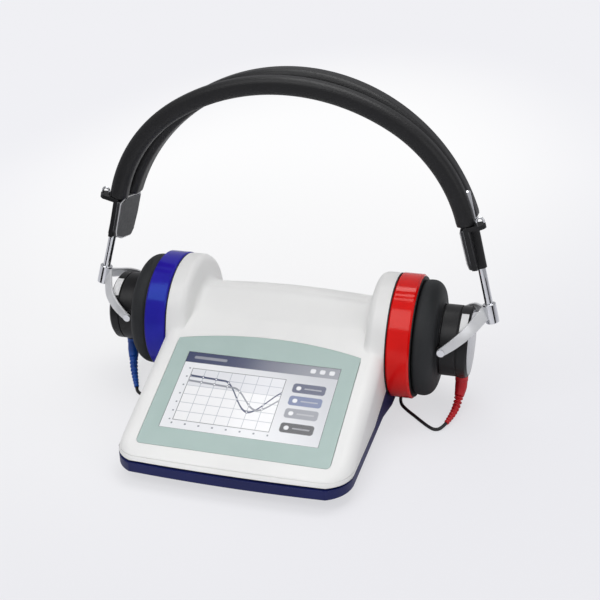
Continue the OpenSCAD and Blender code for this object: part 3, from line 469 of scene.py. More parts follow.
for side in (1, -1):
    word = sideName[side]
print("cords made")


# ---- housing
# Across: the saddle's crown, the wall and the rim, with radii about the dock axis.
# Along: the panel from the saddle (s = 0) to the lip, the overlay's pocket, and the
# rear block. The seam's points are (y, z): behind the screen it climbs over a notch.
housingPlan = {
    "saddleR": 24.2, "crown": 3.2, "crownTo": 66.0, "wallFoot": 57.0, "filletR": 7.0, "wallLean": 8.0,
    "rimMid": 37.8, "rimR": 6.0, "edgeRun": 7.4, "edgeDrop": 0.3, "steps": 15,
    "tilt": 21.8, "frontY": -151.0, "bowR": 1049.6, "cornerR": 23.0, "lip": 9.0, "joint": 16.0,
    "lipEdge": 16.5, "seamDeep": 1.0, "seamLow": 15.75,
    "overlayHalf": 65.5, "overlayR": 3.0, "overlayTop": 43.95, "overlayLow": 47.45, "arch": 8.0,
    "panelMid": 89.6, "pocket": 4.0, "pocketEdge": 0.12, "gap": 0.16, "sink": 0.05, "sinkFrom": 20,
    "uprightFrom": 60, "uprightRun": 40, "panelBlend": 9.0,
    "lastAngle": -34.2, "wallY": 36.0, "slopeAway": 23.95, "slopeTo": (0.5984, 0.8011), "blockFrom": 53.2,
    "rearBlend": 6.0, "easeRows": 6, "notchHalf": 52.0, "notchLow": 42.15,
    "seamPlain": [(33, 27), (31, 27), (28, 27), (20, 27), (10, 27), (-5, 27), (-12, 27)],
    "seamNotch": [(33.4, 42.15), (33.3, 46), (28, 46), (20, 46), (5, 46), (-10, 46), (-10.2, 27)],
    "seamFront": [(-25, 27), (-40, 23.33), (-55, 19.67), (-70, 16), (-95, 15.7)],
}


def smoothMax(a, b, k):
    h = np.clip(k - np.abs(a - b), 0, None) / k
    return np.maximum(a, b) + h * h * k / 4


# Half of the stations along x, each with the radius that the dock side turns at:
# the saddle's shallow crown, a fillet, a slightly leaning wall, the rim's rounding
# and the flat rim.
def housingStations(plan):
    far, foot, notch, steps = plan["crownTo"], plan["wallFoot"], plan["notchHalf"], plan["steps"]
    big = (far ** 2 + plan["crown"] ** 2) / (2 * plan["crown"])

    def saddle(x):
        return plan["saddleR"] + plan["crown"] - big + np.sqrt(big ** 2 - np.minimum(x, far) ** 2)
    beyond = np.linspace(notch + 1, foot - 0.4, 5)
    flat = np.concatenate([np.linspace(0, notch, 22), [notch + 0.1], beyond])
    r, lean = plan["filletR"], radians(plan["wallLean"])
    turn = np.linspace(-np.pi / 2, -lean, steps)
    fillet = np.stack([foot + r * np.cos(turn), saddle(foot) + r + r * np.sin(turn)], 1)
    r, mid = plan["rimR"], plan["rimMid"]
    turn = np.linspace(np.pi - lean, np.pi / 2, steps)
    wallX = fillet[-1, 0] + (mid + r * math.sin(lean) - fillet[-1, 1]) * math.tan(lean)
    rim = np.stack([wallX + r * math.cos(lean) + r * np.cos(turn), mid + r * np.sin(turn)], 1)
    wall = np.linspace(fillet[-1], rim[0], 7)[1:-1]
    inward = plan["edgeRun"] * (1 - np.sin(quarterTurn(steps + 1)[1:]))
    edge = np.stack([halfW - inward, np.full(steps, mid + r)], 1)
    edge[-1, 1] -= plan["edgeDrop"]
    return np.vstack([np.stack([flat, saddle(flat)], 1), fillet, wall, rim, edge])


# The loop at one station runs from the lip up the panel by rays square to it, then
# over the saddle by rays from the dock axis, down the rear wall, and back under.
# Heights are smooth maxima of the panel, the dock's disc and the rear block.
def housingGrid(plan):
    half = housingStations(plan)
    x, disc = half[:, :1], half[:, 1:]
    tilt = radians(plan["tilt"])
    slope, seen = math.tan(tilt), math.cos(tilt)
    normal = np.array([-math.sin(tilt), math.cos(tilt)])
    ahead = np.array([-math.cos(tilt), -math.sin(tilt)])
    foot = np.array([0, dockH]) + plan["saddleR"] * normal
    front = plan["frontY"] + plan["bowR"] - np.sqrt(plan["bowR"] ** 2 - x ** 2)
    corner = plan["cornerR"]
    cornerY = plan["frontY"] + corner
    over = np.clip(x - (halfW - corner), 0, None)
    frontY = np.maximum(front, cornerY - np.sqrt(np.clip(corner ** 2 - over ** 2, 0, None)))

    # How far the lip has rounded down at y: a circle that touches the panel and an
    # upright line at the nearest edge, which is the front, a side or the corner.
    def dropAt(y):
        inFront = y - front
        inSide = halfW - x + 0 * y
        quadrant = (x > halfW - corner) & (y < cornerY)
        radial = corner - np.hypot(over, np.minimum(y - cornerY, 0))
        gap = np.where(quadrant, np.minimum(radial, inFront), np.minimum(inFront, inSide))
        turned = np.clip((cornerY - y) / np.maximum(np.hypot(over, cornerY - y), 1e-6), 0, 1)
        m = slope * np.where(quadrant & (radial < inFront), turned, np.where(inFront < inSide, 1, 0))
        r = plan["lip"]
        inner = np.clip(r - gap, 0, r)
        fall = r * np.sqrt(1 + m * m) - m * inner - np.sqrt(r * r - inner * inner)
        return np.where(gap < r * (1 - m / np.sqrt(1 + m * m)), np.maximum(fall, 0), 0)

    def below(y):
        return foot[1] + (y - foot[0]) * slope - dropAt(y) < plan["joint"]

    # Where the lip meets the joint line, by halving
    low, high = frontY.copy(), frontY + 12
    for _ in range(40):
        mid = (low + high) / 2
        under = below(mid)
        low, high = np.where(under, mid, low), np.where(under, high, mid)
    lastS = (foot[0] - np.where(below(frontY), high, frontY)) / seen

    # Samples along the panel, with the overlay's pocket edge on a grid line
    wide, r = plan["overlayHalf"], plan["overlayR"]
    inside = np.clip(x - (wide - r), 0, r)
    rounding = r - np.sqrt(r ** 2 - inside ** 2)
    archR = (wide ** 2 + plan["arch"] ** 2) / (2 * plan["arch"])
    sag = archR - np.sqrt(archR ** 2 - np.minimum(x, wide) ** 2)
    topS = plan["panelMid"] - plan["overlayTop"] - plan["arch"] + sag + rounding
    lowS = plan["panelMid"] + plan["overlayLow"] - rounding
    toLip = 1 - np.cos(quarterTurn(22))
    upper = (topS - plan["gap"]) * np.linspace(0, 1, 44) ** 0.9
    middle = topS + (lowS - topS) * np.linspace(0, 1, 14)
    lower = lastS - (lastS - lowS - plan["gap"]) * toLip[::-1]
    s = np.concatenate([upper, middle, lower], 1)
    sunk = np.concatenate([0 * upper, 0 * middle + 1, 0 * lower], 1) * (x < wide + plan["pocketEdge"])
    bulge = np.sqrt(np.clip(disc ** 2 - s ** 2, 0, None)) - plan["saddleR"]
    bulge = bulge - 3 * np.clip(s - disc, 0, None)
    height = smoothMax(-dropAt(foot[0] - s * seen) * seen, bulge, plan["panelBlend"])
    height = height - plan["sink"] * (s > plan["sinkFrom"]) - sunk * plan["pocket"]
    # Near the lip the rays turn upright, and are as much longer
    ease = np.clip((s - plan["uprightFrom"]) / plan["uprightRun"], 0, 1)[..., None]
    ray = (normal * (1 - ease) + np.array([0, 1.0]) * ease) * (1 + ease * (1 / seen - 1))
    panel = (foot + s[..., None] * ahead + height[..., None] * ray)[:, ::-1]
    panel[:, :, 1] = np.maximum(panel[:, :, 1], plan["lipEdge"])

    # Radial rays over the saddle and down the back, eased in from the panel's end
    angle = np.radians(np.linspace(90 + plan["tilt"], plan["lastAngle"], 74))[1:]
    square = plan["wallY"] / np.maximum(np.cos(angle), 0.05)
    sloped = plan["slopeAway"] / (plan["slopeTo"][0] * np.cos(angle) + plan["slopeTo"][1] * np.sin(angle))
    sloped = np.where(sloped > 0, sloped, 99)
    block = np.where(angle < radians(plan["blockFrom"]), np.minimum(square, sloped), 0)
    radius = smoothMax(disc + 0 * angle, block + 0 * disc, plan["rearBlend"])
    eased = np.clip(np.arange(len(angle)) / plan["easeRows"], 0, 1)
    panelEnd = smoothMax(0 * disc, disc - plan["saddleR"], plan["panelBlend"]) + plan["saddleR"]
    radius = radius * eased + panelEnd * (1 - eased)
    rear = np.stack([radius * np.cos(angle), dockH + radius * np.sin(angle)], -1)

    # Back under: along the joint line, but over the connectors behind the screen
    notched, low = x < plan["notchHalf"] + 0.05, plan["notchLow"]
    rearZ = rear[:, :, 1]
    rear[:, :, 1] = np.where(notched & (rearZ < low), low + (rearZ - low) * 0.001, rearZ)
    under = np.where(notched[..., None], plan["seamNotch"], plan["seamPlain"])
    seam = np.broadcast_to(np.array(plan["seamFront"]), (len(x), len(plan["seamFront"]), 2))
    start = panel[:, :1] * (1, 0) + (plan["seamDeep"], plan["seamLow"])
    loop = np.concatenate([start, panel, rear, under, seam], 1)
    full = np.concatenate([np.broadcast_to(x[..., None], loop.shape[:2] + (1,)), loop], -1)
    return np.concatenate([full[1:][::-1] * (-1, 1, 1), full], 0)


housingLook = paint((238, 238, 236), (228, 228, 227), rough=0.42, grain=2600.0, cloud=18.0, speck=0.12,
                    depth=0.000018, worn=0.0, round=0.0004,
                    ledge={"from": -70.0, "run": 45.0, "slope": 0.2444, "line": 16.0, "up": 2.4,
                           "soft": 0.6, "depth": 0.0010})
housing = gridMesh("housing_shell", inFrame(housingGrid(housingPlan)), sharp=38)
dress(housing, finish("housingWhite", housingLook))
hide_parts("top_housing")
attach(housing, "base_unit")
print("housing made")


# ---- bands
# A half arch is a crown arc and a tighter side arc that share a tangent.
def archPath(plan, centreX, centreZ):
    crownR, sideR = plan["crownR"], plan["sideR"]
    beta = math.asin(centreX / (crownR - sideR))
    crownZ = centreZ - (crownR - sideR) * math.cos(beta)
    last = math.pi / 2 - radians(plan["endAngle"])
    count = int((crownR * beta + sideR * (last - beta)) / plan["spacing"])
    theta = np.linspace(0, last, count)
    flat = theta < beta
    radius = np.where(flat, crownR, sideR)
    x = np.where(flat, 0, centreX) + radius * np.sin(theta)
    z = np.where(flat, crownZ, centreZ) + radius * np.cos(theta)
    half = np.stack([x, 0 * x, z], 1)
    out = np.stack([np.sin(theta), 0 * theta, np.cos(theta)], 1)
    return tuple(np.vstack([row[1:][::-1] * (-1, 1, 1), row]) for row in (half, out))


clampPt = np.array([136.432, 3.495, 107.276])
clampLean = radians(14.57)


# A place given in the right-hand clamp's own leaning axes
def inClamp(x, y, z):
    c, s = math.cos(clampLean), math.sin(clampLean)
    return clampPt + np.stack([x * c - z * s, y, x * s + z * c], -1)


frontPlan = {"crownR": 149.0, "sideR": 107.0, "endAngle": 13.6, "spacing": 1.6, "width": 12.5,
             "thick": 12.6, "end": inClamp(-2.3, -5.9, 34.3 + 6.3 * math.sin(radians(3)))}
rearPlan = {"crownR": 132.0, "sideR": 107.0, "endAngle": 18.2, "spacing": 1.6, "width": 18.0,
            "thick": 12.0, "end": inClamp(-3.5, 16.6, 31.8), "tilt": 3.6}


def sideCentre(plan):
    angle = radians(plan["endAngle"])
    return plan["end"][0] - plan["sideR"] * math.cos(angle), -plan["sideR"] * math.sin(angle)


def frontArch(plan):
    centreX, belowEnd = sideCentre(plan)
    path, out = archPath(plan, centreX, plan["end"][2] + belowEnd)
    return path + (0, plan["end"][1], 0), out


# The rear arch is made about its ends, and then leans back about them.
def rearArch(plan):
    path, out = archPath(plan, *sideCentre(plan))
    c, s = math.cos(radians(plan["tilt"])), math.sin(radians(plan["tilt"]))
    turn = np.array([[1, 0, 0], [0, c, -s], [0, s, c]])
    return path @ turn + (0, plan["end"][1], plan["end"][2]), out @ turn


sleevePlan = {"corner": 5.0, "steps": 10, "pinch": 0.05, "mouth": 3.0}


def acrossBand(path, outward):
    return np.cross(unit(np.gradient(path, axis=0)), outward)


# A padded sleeve: a rounded section that shrinks at the ends like a stitched mouth.
def sleeve(name, path, outward, plan):
    across = acrossBand(path, outward)
    fromEnd = (0.5 - np.abs(np.linspace(-0.5, 0.5, len(path)))) * lengthOf(path)
    grow = 1 - sleevePlan["pinch"] * np.clip(1 - fromEnd / sleevePlan["mouth"], 0, 1) ** 2
    section = roundedOutline(plan["thick"], plan["width"], sleevePlan["corner"], sleevePlan["steps"])
    section = section[None] * grow[:, None, None]
    grid = path[:, None] + section[..., :1] * outward[:, None] + section[..., 1:] * across[:, None]
    return gridMesh(name, inFrame(grid), sharp=50)


bandLook = paint((19, 19, 21), (13, 13, 15), rough=0.46, specular=0.4, grain=2200.0, cloud=60.0,
                 depth=0.00002, pebble=900.0, pebbleDepth=0.00006, worn=0.0)
bandBlack = finish("bandLeather", bandLook)
for name, plan, arch in (("front_band", frontPlan, frontArch), ("rear_band", rearPlan, rearArch)):
    made = dress(sleeve(name + "_pad", *arch(plan), plan), bandBlack)
    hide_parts(name + "_sleeve")
    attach(made, "headband")

# Pale piping sewn along both back edges of the front band
pipingPlan = {"out": 4.8, "back": 4.75, "radius": 0.45, "sides": 8}
pipingLook = paint((226, 226, 226), (200, 200, 202), rough=0.45, cloud=200.0, worn=0.0)
piping = finish("pipingGrey", pipingLook)
frontPath, frontOut = frontArch(frontPlan)
backward = acrossBand(frontPath, frontOut)
backward = backward * np.sign(backward[:, 1:2])
for word, along in (("outer", 1), ("inner", -1)):
    line = inFrame(frontPath + along * frontOut * pipingPlan["out"] + backward * pipingPlan["back"])
    grid = tubeGrid(line, pipingPlan["radius"] / 1000, pipingPlan["sides"])
    made = dress(gridMesh("piping_" + word, grid, sharp=80), piping)
    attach(made, "headband")

# The raised rim round each keeper plate: a round bead on the plate's outline (y, z)
rimPlan = {"outline": [(-11.3, 8.65), (-11.3, 31.5), (-2, 32.9), (8.5, 30.7), (26.7, 26.0), (26.3, 11.4),
                       (23.5, -2.5), (19.45, -6.5), (2.65, -2.2), (-8.9, 3.65)],
           "face": -6.2, "radius": 0.5, "spacing": 0.5, "soften": 5, "sides": 10}


def rimGrid(side, plan):
    outline = np.array(plan["outline"] + plan["outline"][:1], float)
    closed = evenly(np.hstack([outline, 0 * outline[:, :1]]), plan["spacing"])[:-1, :2]
    reach = range(-(plan["soften"] // 2), plan["soften"] // 2 + 1)
    closed = sum(np.roll(closed, k, axis=0) for k in reach) / plan["soften"]
    ahead = unit(np.roll(closed, -1, axis=0) - np.roll(closed, 1, axis=0))
    turn = fullTurn(plan["sides"])
    y = closed[:, :1] + plan["radius"] * np.cos(turn) * ahead[:, 1:]
    z = closed[:, 1:] - plan["radius"] * np.cos(turn) * ahead[:, :1]
    x = plan["face"] + plan["radius"] * np.sin(turn) + 0 * y
    return inClamp(x, y, z) * (side, 1, 1)


for side in (1, -1):
    grid = inFrame(rimGrid(side, rimPlan))
    made = dress(gridMesh("keeper_rim_" + sideName[side], grid, loop=True, sharp=80), piping)
    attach(made, "headband")
print("bands made")


# ---- ear cushions
cushionLook = paint((38, 40, 42), (29, 31, 33), rough=0.62, specular=0.35, grain=1500.0, cloud=50.0,
                    depth=0.00004, worn=0.0)
cushionRubber = finish("cushionRubber", cushionLook)
# Points are (radius, x), from the hole over the face to the crest, and from there
# into the shell and back to the hole
cushionPlan = {
    "crest": 30.0, "bulge": 11.0, "crestX": 102.0, "rise": 9.0, "power": 0.9, "steps": 144,
    "face": [(12.5, 97.6), (14, 97.1), (16, 97.0), (24, 97.0), (32, 97.0), (37.5, 97.0), (39.4, 97.2),
             (40.4, 98.0), (40.8, 99.4), (41.0, 100.8)],
    "neck": [(28.5, 111.1), (27, 111.25), (25.9, 111.6), (25.2, 112.2), (24.4, 112.2), (24.1, 111.8),
             (24.1, 109.9), (22, 109.9), (16, 109.9), (12, 108.6), (11, 107), (11, 102), (11.3, 99)],
    "spanX": (97.0, 109.9), "middleZ": 56,
}


# Between the two lists the side is a quarter of a superellipse drawn in to the shell:
# radius = crest + bulge * cos ** power, x = crestX + rise * sin ** power.
def cushionProfile(plan):
    turn = quarterTurn(26)
    radius = plan["crest"] + plan["bulge"] * np.cos(turn) ** plan["power"]
    x = plan["crestX"] + plan["rise"] * np.sin(turn) ** plan["power"]
    return np.vstack([plan["face"], np.stack([radius, x], 1), plan["neck"]])


for side in (1, -1):
    word = sideName[side]
    made = revolve("cushion_" + word, cushionProfile(cushionPlan), side, cushionPlan["steps"], sharp=60)
    dress(made, cushionRubber)
    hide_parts("ear_cushion_" + word)
    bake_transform(made)
print("cushions made")


# ---- yokes
yokePlan = {
    "pin": (115.6, 56.0), "radius": 29.0, "thick": 1.6, "edgeR": 0.35, "end": 5.6, "wide": 9.2,
    "tilt": 38.0, "turn": 60.0, "barrelR": 4.6, "barrelL": 14.0, "boreR": 2.8, "rimR": 0.6,
    "chamfer": 0.2, "cap": 1.5, "up": 33.0, "sides": 64,
}
rodDir = np.array([-0.250148, 0.105917, 0.962397])
strapLook = paint((226, 227, 228), (212, 213, 216), rough=0.34, metal=0.35, grain=2600.0, cloud=90.0,
                  depth=0.000008, worn=0.0)
strapSatin = finish("strapSatin", strapLook)
chromeLook = paint((232, 233, 236), (214, 216, 220), rough=0.05, metal=1.0, grain=1500.0, cloud=120.0,
                   depth=0.000002, roughCloud=0.02, roughGrain=0.02, worn=0.0)
chrome = finish("chromeBright", chromeLook)


# The strap follows an arc about the pins' middle as far as "turn", then the tangent
# to the barrel. Its half-width grows in a straight line, and the tips are half discs.
def strapGrid(side, plan):
    r, last, tip = plan["radius"], radians(plan["turn"]), plan["end"] / 2
    reach = r / math.sin(last)
    arcEnd = r * np.array([-math.cos(last), math.sin(last)])
    nose = tip * np.cos(quarterTurn(14))[:-1]
    turn = np.linspace(0, last, 30)
    straight = np.linspace(0, 1, 12)[1:, None] * (np.array([0, reach]) - arcEnd)
    half = np.vstack([np.stack([0 * nose - r, -nose], 1),
                      np.stack([-r * np.cos(turn), r * np.sin(turn)], 1), arcEnd + straight])
    line = np.vstack([half, half[:-1][::-1] * (-1, 1)])
    ahead = unit(np.gradient(line, axis=0))
    normal = np.stack([ahead[:, 1], -ahead[:, 0]], 1)
    along = line[:, 1]
    grow = tip + (plan["wide"] / 2 - tip) * np.clip(along + 1, 0, None) / (reach + 1)
    grow = np.where(along < 0, np.sqrt(np.clip(tip ** 2 - along ** 2, 0.0004, None)), grow)[:, None]
    section = roundedOutline(2.0, plan["thick"], plan["edgeR"], 5)
    rounding = np.abs(1 - np.abs(section[:, 0]))
    width = np.sign(section[:, 0]) * np.maximum(grow - rounding, 0.01)
    depth = section[None, :, 1] * np.minimum(1, grow / 0.5)
    flat = line[:, None] + depth[..., None] * normal[:, None]
    c, s = math.cos(radians(plan["tilt"])), math.sin(radians(plan["tilt"]))
    x = plan["pin"][0] + flat[..., 1] * c - width * s
    z = plan["pin"][1] + flat[..., 1] * s + width * c
    return np.stack([side * x, flat[..., 0], z], -1)


# Barrel: a turned cup whose rims are rounded, open at the top for the rod. Its
# profile is (radius, height), turned about the leaning rod.
def barrelGrid(side, plan):
    r, h, bore, rim = plan["barrelR"], plan["barrelL"], plan["boreR"], plan["rimR"]
    bend = quarterTurn(6)
    base = np.stack([r - rim + rim * np.sin(bend), rim - rim * np.cos(bend)], 1)
    mouth = np.stack([r - rim + rim * np.cos(bend), h - rim + rim * np.sin(bend)], 1)
    inside = [(bore + plan["chamfer"], h), (bore, h - plan["chamfer"]), (bore, h - 1),
              (bore, plan["cap"] + 0.1), (0.01, plan["cap"])]
    profile = np.vstack([[(0.01, 0.0)], base, [(r, 0.9), (r, h / 2), (r, h - 0.9)], mouth, inside])
    middle = clampPt - plan["up"] * rodDir
    axis = unit(rodDir)
    across = unit(np.cross(axis, (0, 1.0, 0)))
    turn = fullTurn(plan["sides"])[:, None]
    ring = np.cos(turn) * across + np.sin(turn) * np.cross(axis, across)
    grid = middle + profile[:, None, :1] * ring + (profile[:, None, 1:] - h / 2) * axis
    return grid * (side, 1, 1)


for side in (1, -1):
    word = sideName[side]
    for kind, shape, material in (("strap", strapGrid, strapSatin), ("barrel", barrelGrid, chrome)):
        grid = inFrame(shape(side, yokePlan))
        made = dress(gridMesh("yoke_" + kind + "_" + word, grid, sharp=40), material)
        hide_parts("yoke_" + word)
        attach(made, "yoke_" + word)
print("yokes made")


# ---- finishes of the CAD nodes, by material slot
ringPaint = {"rough": 0.12, "grain": 900.0, "cloud": 40.0, "depth": 0.000003, "round": 0.0006,
             "worn": 0.0, "roughCloud": 0.03, "roughGrain": 0.02}
looks = {
    # Navy cover: the paler blue along its edges is a painted highlight, with some wear
    "navy_shell": paint((22, 31, 92), (16, 23, 74), rough=0.42, specular=0.3, grain=2400.0, cloud=30.0,
                        depth=0.00002, round=0.0008, worn=0.1, bareColor=rgb(70, 82, 140)),
    "white_shell": housingLook,
    "membrane": paint((174, 194, 189), (165, 186, 181), rough=0.45, grain=3500.0, cloud=30.0,
                      round=0.0004, worn=0.0),
    "display": paint((30, 32, 36), (46, 48, 52), rough=0.5),
    "steel": paint((205, 206, 208), (185, 186, 190), rough=0.3, metal=1.0, grain=3000.0, cloud=80.0,
                   worn=0.1),
    "chrome": chromeLook,
    "board": paint((20, 84, 52), (14, 62, 40), rough=0.45),
    "electronics": paint((30, 30, 32), (52, 52, 56), rough=0.5),
    # Black plastic: the grey along its edges is a painted highlight, with some wear
    "black_plastic": paint((17, 17, 19), (25, 25, 27), rough=0.38, specular=0.35, grain=2400.0,
                           cloud=70.0, depth=0.00002, round=0.0005, bareColor=rgb(80, 80, 84)),
    "blue_dock": paint((46, 32, 166), (34, 26, 146), tint=(0.12, 0.42, 0.95, 1.0), **ringPaint),
    "red_dock": paint((232, 18, 14), (214, 12, 12), tint=(1.0, 0.6, 0.55, 1.0), **ringPaint),
    "seal_rubber": paint((16, 16, 17), (26, 26, 28), rough=0.55),
    "foot_rubber": paint((26, 26, 27), (38, 38, 40), rough=0.7, grain=1400.0, depth=0.00004),
    "cushion_rubber": cushionLook,
    "coupler_metal": paint((120, 122, 126), (96, 98, 102), rough=0.35, metal=0.8),
    "pad_black": bandLook,
    # Keeper plates: the pale grey along their edges is a painted highlight, with some wear
    "keeper_grey": paint((58, 60, 62), (40, 42, 44), rough=0.55, grain=1300.0, cloud=500.0, vary=0.9,
                         depth=0.00006, edge=0.0008, worn=0.9, bareColor=rgb(165, 167, 170)),
    "cap_silver": paint((200, 201, 204), (180, 182, 186), rough=0.25, metal=0.9, cloud=80.0, round=0.0004),
    "label_white": paint((240, 240, 240), (228, 228, 228), rough=0.5, cloud=300.0, vary=0.3),
    "cord_black": cordLook,
    "blue_rubber": bootLook[-1],
    "red_rubber": bootLook[1],
}
slotOf = {part["node"]: part["material_slot"] for part in frame["record"]["subparts"]}
finishes = {slot: finish("cad_" + slot, look) for slot, look in looks.items()}


# ---- the screen: a plain hearing chart, painted by formula in the panel's own axes
# u and v run from 0 to 1 over the screen, cu and cv over the chart. A pill is
# (u, v, half width, half height, corner) and a curve (start, dip, where, wide, tint).
screenPlan = {
    "width": 109.0, "height": 65.5, "panelY": -92.2, "panelZ": 40.68, "paper": rgb(240, 241, 244),
    "silver": rgb(188, 190, 196), "mid": rgb(140, 143, 152), "navy": rgb(38, 50, 92),
    "ink": rgb(24, 27, 38), "line": rgb(178, 182, 190), "steel": rgb(92, 108, 150),
    "chartPaper": (0.93, 0.93, 0.94, 1.0),
    "pixel": (0.75, 0.76, 0.8, 1.0), "chart": (0.07, 0.68, 0.11, 0.78), "columns": 7, "rows": 6,
    "soft": 0.003, "header": 0.855, "headerIcons": (0.83, 0.89, 0.95),
    "headerName": (0.16, 0.93, 0.11, 0.02, 0.01),
    "curves": [(0.86, 0.50, 0.72, 0.34, "navy"), (0.76, 0.34, 0.80, 0.30, "mid")], "curveHalf": 0.012,
    "buttons": [(0.69, "navy"), (0.53, "steel"), (0.37, "mid"), (0.19, "ink")],
}


def screenPicture(plan):
    g = Graph("screenPicture")
    x, y, z = g.axes()
    tilt = radians(housingPlan["tilt"])
    back, rise = y * 1000 - (plan["panelY"] + dockY), z * 1000 - plan["panelZ"]
    u = x * 1000 / plan["width"] + 0.5
    v = (back * math.cos(tilt) + rise * math.sin(tilt)) / plan["height"] + 0.5
    aspect = plan["width"] / plan["height"]

    def boxMask(u0, u1, v0, v1):
        soft, tall = plan["soft"], plan["soft"] * aspect
        sides = u.ramp(u0, u0 + soft) * (1 - u.ramp(u1 - soft, u1))
        return sides * (v.ramp(v0, v0 + tall) * (1 - v.ramp(v1 - tall, v1)))

    def pill(uc, vc, hu, hv, r):
        dx = ((u - uc).abs() - (hu - r)).most(0.0) * aspect
        dy = ((v - vc).abs() - (hv - r * aspect)).most(0.0)
        return 1 - ((dx * dx + dy * dy) ** 0.5).ramp(r * aspect - 0.008, r * aspect + 0.004)

    # 0 in the middle of each cell of a grid, and 0.5 on its lines
    def cell(value):
        return (value.fract() - 0.5).abs()

    # Ground: paper at the left fading to silver at the upper right
    color = g.mix(plan["paper"], plan["silver"], (u * 0.9 + v * 0.45).ramp(0.45, 1.25) * 0.9)
    # Header: a navy bar that pales to the right, with a bare name field and three icons
    head = v.ramp(plan["header"], plan["header"] + 0.007)
    color = g.mix(color, g.mix(plan["navy"], plan["mid"], u.ramp(0.25, 1.0)), head)
    for uc in plan["headerIcons"]:
        color = g.mix(color, plan["paper"], pill(uc, 0.93, 0.018, 0.03, 0.012) * 0.8)
    color = g.mix(color, plan["silver"], pill(*plan["headerName"]) * 0.55)
    # Chart: paler paper, the grid's lines and a dark frame
    c0, c1, r0, r1 = plan["chart"]
    chart = boxMask(c0, c1, r0, r1)
    color = g.mix(color, plan["chartPaper"], chart * 0.85)
    cu = (u - c0) / (c1 - c0)
    cv = (v - r0) / (r1 - r0)
    across, down = cu * plan["columns"], cv * plan["rows"]
    lines = cell(across).ramp(0.465, 0.49).most(cell(down).ramp(0.455, 0.485))
    color = g.mix(color, plan["line"], lines * chart * 0.9)
    frameLine = boxMask(c0 - 0.004, c1 + 0.004, r0 - 0.007, r1 + 0.007) - chart
    color = g.mix(color, plan["ink"], frameLine.most(0.0) * 0.8)
    # The band of ordinary hearing, shaded lightly
    color = g.mix(color, plan["steel"], chart * cv.ramp(0.66, 0.68) * 0.16)
    # Two hearing curves: a steady start, a dip at the high notes, a recovery. Each has
    # a ring where it crosses a grid line.
    for start, dip, where, wide, tint in plan["curves"]:
        level = start - cu * 0.08 - dip * (1 - ((cu - where).abs() / wide).least(1.0).ramp(0.0, 1.0))
        trace = 1 - (cv - level).abs().ramp(plan["curveHalf"], plan["curveHalf"] * 2)
        color = g.mix(color, plan[tint], trace * chart)
        knot = (0.5 - cell(across)) / plan["columns"]
        away = ((knot * (c1 - c0) * aspect) ** 2 + ((cv - level) * (r1 - r0)) ** 2) ** 0.5
        color = g.mix(color, plan[tint], (1 - away.ramp(0.016, 0.020)) * chart)
        color = g.mix(color, plan["paper"], (1 - away.ramp(0.007, 0.010)) * chart)
    # Ticks beside and under the chart, without figures
    tickV = (1 - cell(down + 0.5).ramp(0.07, 0.09)) * boxMask(0.042, 0.056, r0 - 0.01, r1 + 0.01)
    tickU = (1 - cell(across + 0.5).ramp(0.06, 0.08)) * boxMask(c0 - 0.006, c1 + 0.006, 0.055, 0.08)
    color = g.mix(color, plan["mid"], tickV.most(tickU))
    # Buttons down the right-hand side, each with a dot and a bare line
    for vc, tint in plan["buttons"]:
        color = g.mix(color, plan[tint], pill(0.84, vc, 0.105, 0.062, 0.02))
        color = g.mix(color, plan["paper"], pill(0.775, vc, 0.016, 0.027, 0.014) * 0.9)
        color = g.mix(color, plan["silver"], pill(0.865, vc, 0.055, 0.010, 0.005) * 0.6)
    color = g.mix(plan["ink"], color, boxMask(0.001, 0.999, 0.001, 0.999))
    dots = g.noise(4000.0, 0.0)
    color = g.mix(color, plan["pixel"], dots * 0.05)
    g.set(Base_Color=g.mix((0, 0, 0, 1), color, 0.62), Roughness=0.22 + dots * 0.05, Coat_Weight=0.35,
          Coat_Roughness=0.08, Emission_Color=color, Emission_Strength=0.33)
    g.relief(dots * 0.000004)
    return g.material


finishes["screen_glass"] = screenPicture(screenPlan)

# The bracket's rim has a painted highlight: a thin pale line painted along its edges round the keeper
# plate
rimLook = paint((30, 30, 32), (40, 40, 43), rough=0.42, grain=2400.0, cloud=70.0, depth=0.00002,
                round=0.0006, edge=0.0009, worn=0.9, bareColor=rgb(150, 152, 156))
rimBlack = finish("bracketRim", rimLook)
for name, node in frame["nodes"].items():
    dress(node, rimBlack if name.startswith("end_bracket") else finishes[slotOf[name]])
print("finishes made")


# ---- floor, light and backdrop
studio = {
    "floor": rgb(241, 241, 245), "floorHalf": 6.0, "floorShade": 0.82, "glowNear": 0.68, "glowFar": 0.98,
    "world": (0.90, 0.90, 0.93, 1.0), "worldStrength": 0.46, "worldSeen": 0.97,
    # The floor paper is painted whiter round one spot behind the part, a painted pool of light
    "white": (0.995, 0.995, 1.0, 1.0), "whiteAt": (-0.12, 0.45), "whiteSize": (0.24, 0.44),
    "flagPaint": (0.012, 0.012, 0.013, 1.0),
    "flags": [
        {"name": "flagLeft", "foot": ((-0.30, -0.085), (-0.19, -0.11)), "high": 0.12},
        {"name": "flagRight", "foot": ((0.235, -0.045), (0.275, 0.0)), "high": 0.1},
    ],
    "lamps": [
        {"name": "key", "at": (-0.35, -0.75, 1.25), "aim": (0, 0, 0.06), "size": (0.9, 0.9),
         "power": 5.9},
        {"name": "fill", "at": (1.2, -0.55, 0.75), "aim": (0, 0, 0.06), "size": (0.8, 0.8), "power": 2.6},
        {"name": "top", "at": (0.1, 0.35, 1.3), "aim": (0, 0.02, 0.1), "size": (1.0, 0.7), "power": 7.8},
    ],
}


# One four-cornered card for the studio, not attached to the part
def stageCard(name, corners, material):
    mesh = bpy.data.meshes.new(name)
    mesh.from_pydata(corners, [], [(0, 1, 2, 3)])
    made = dress(addObject(name, mesh), material)
    return made


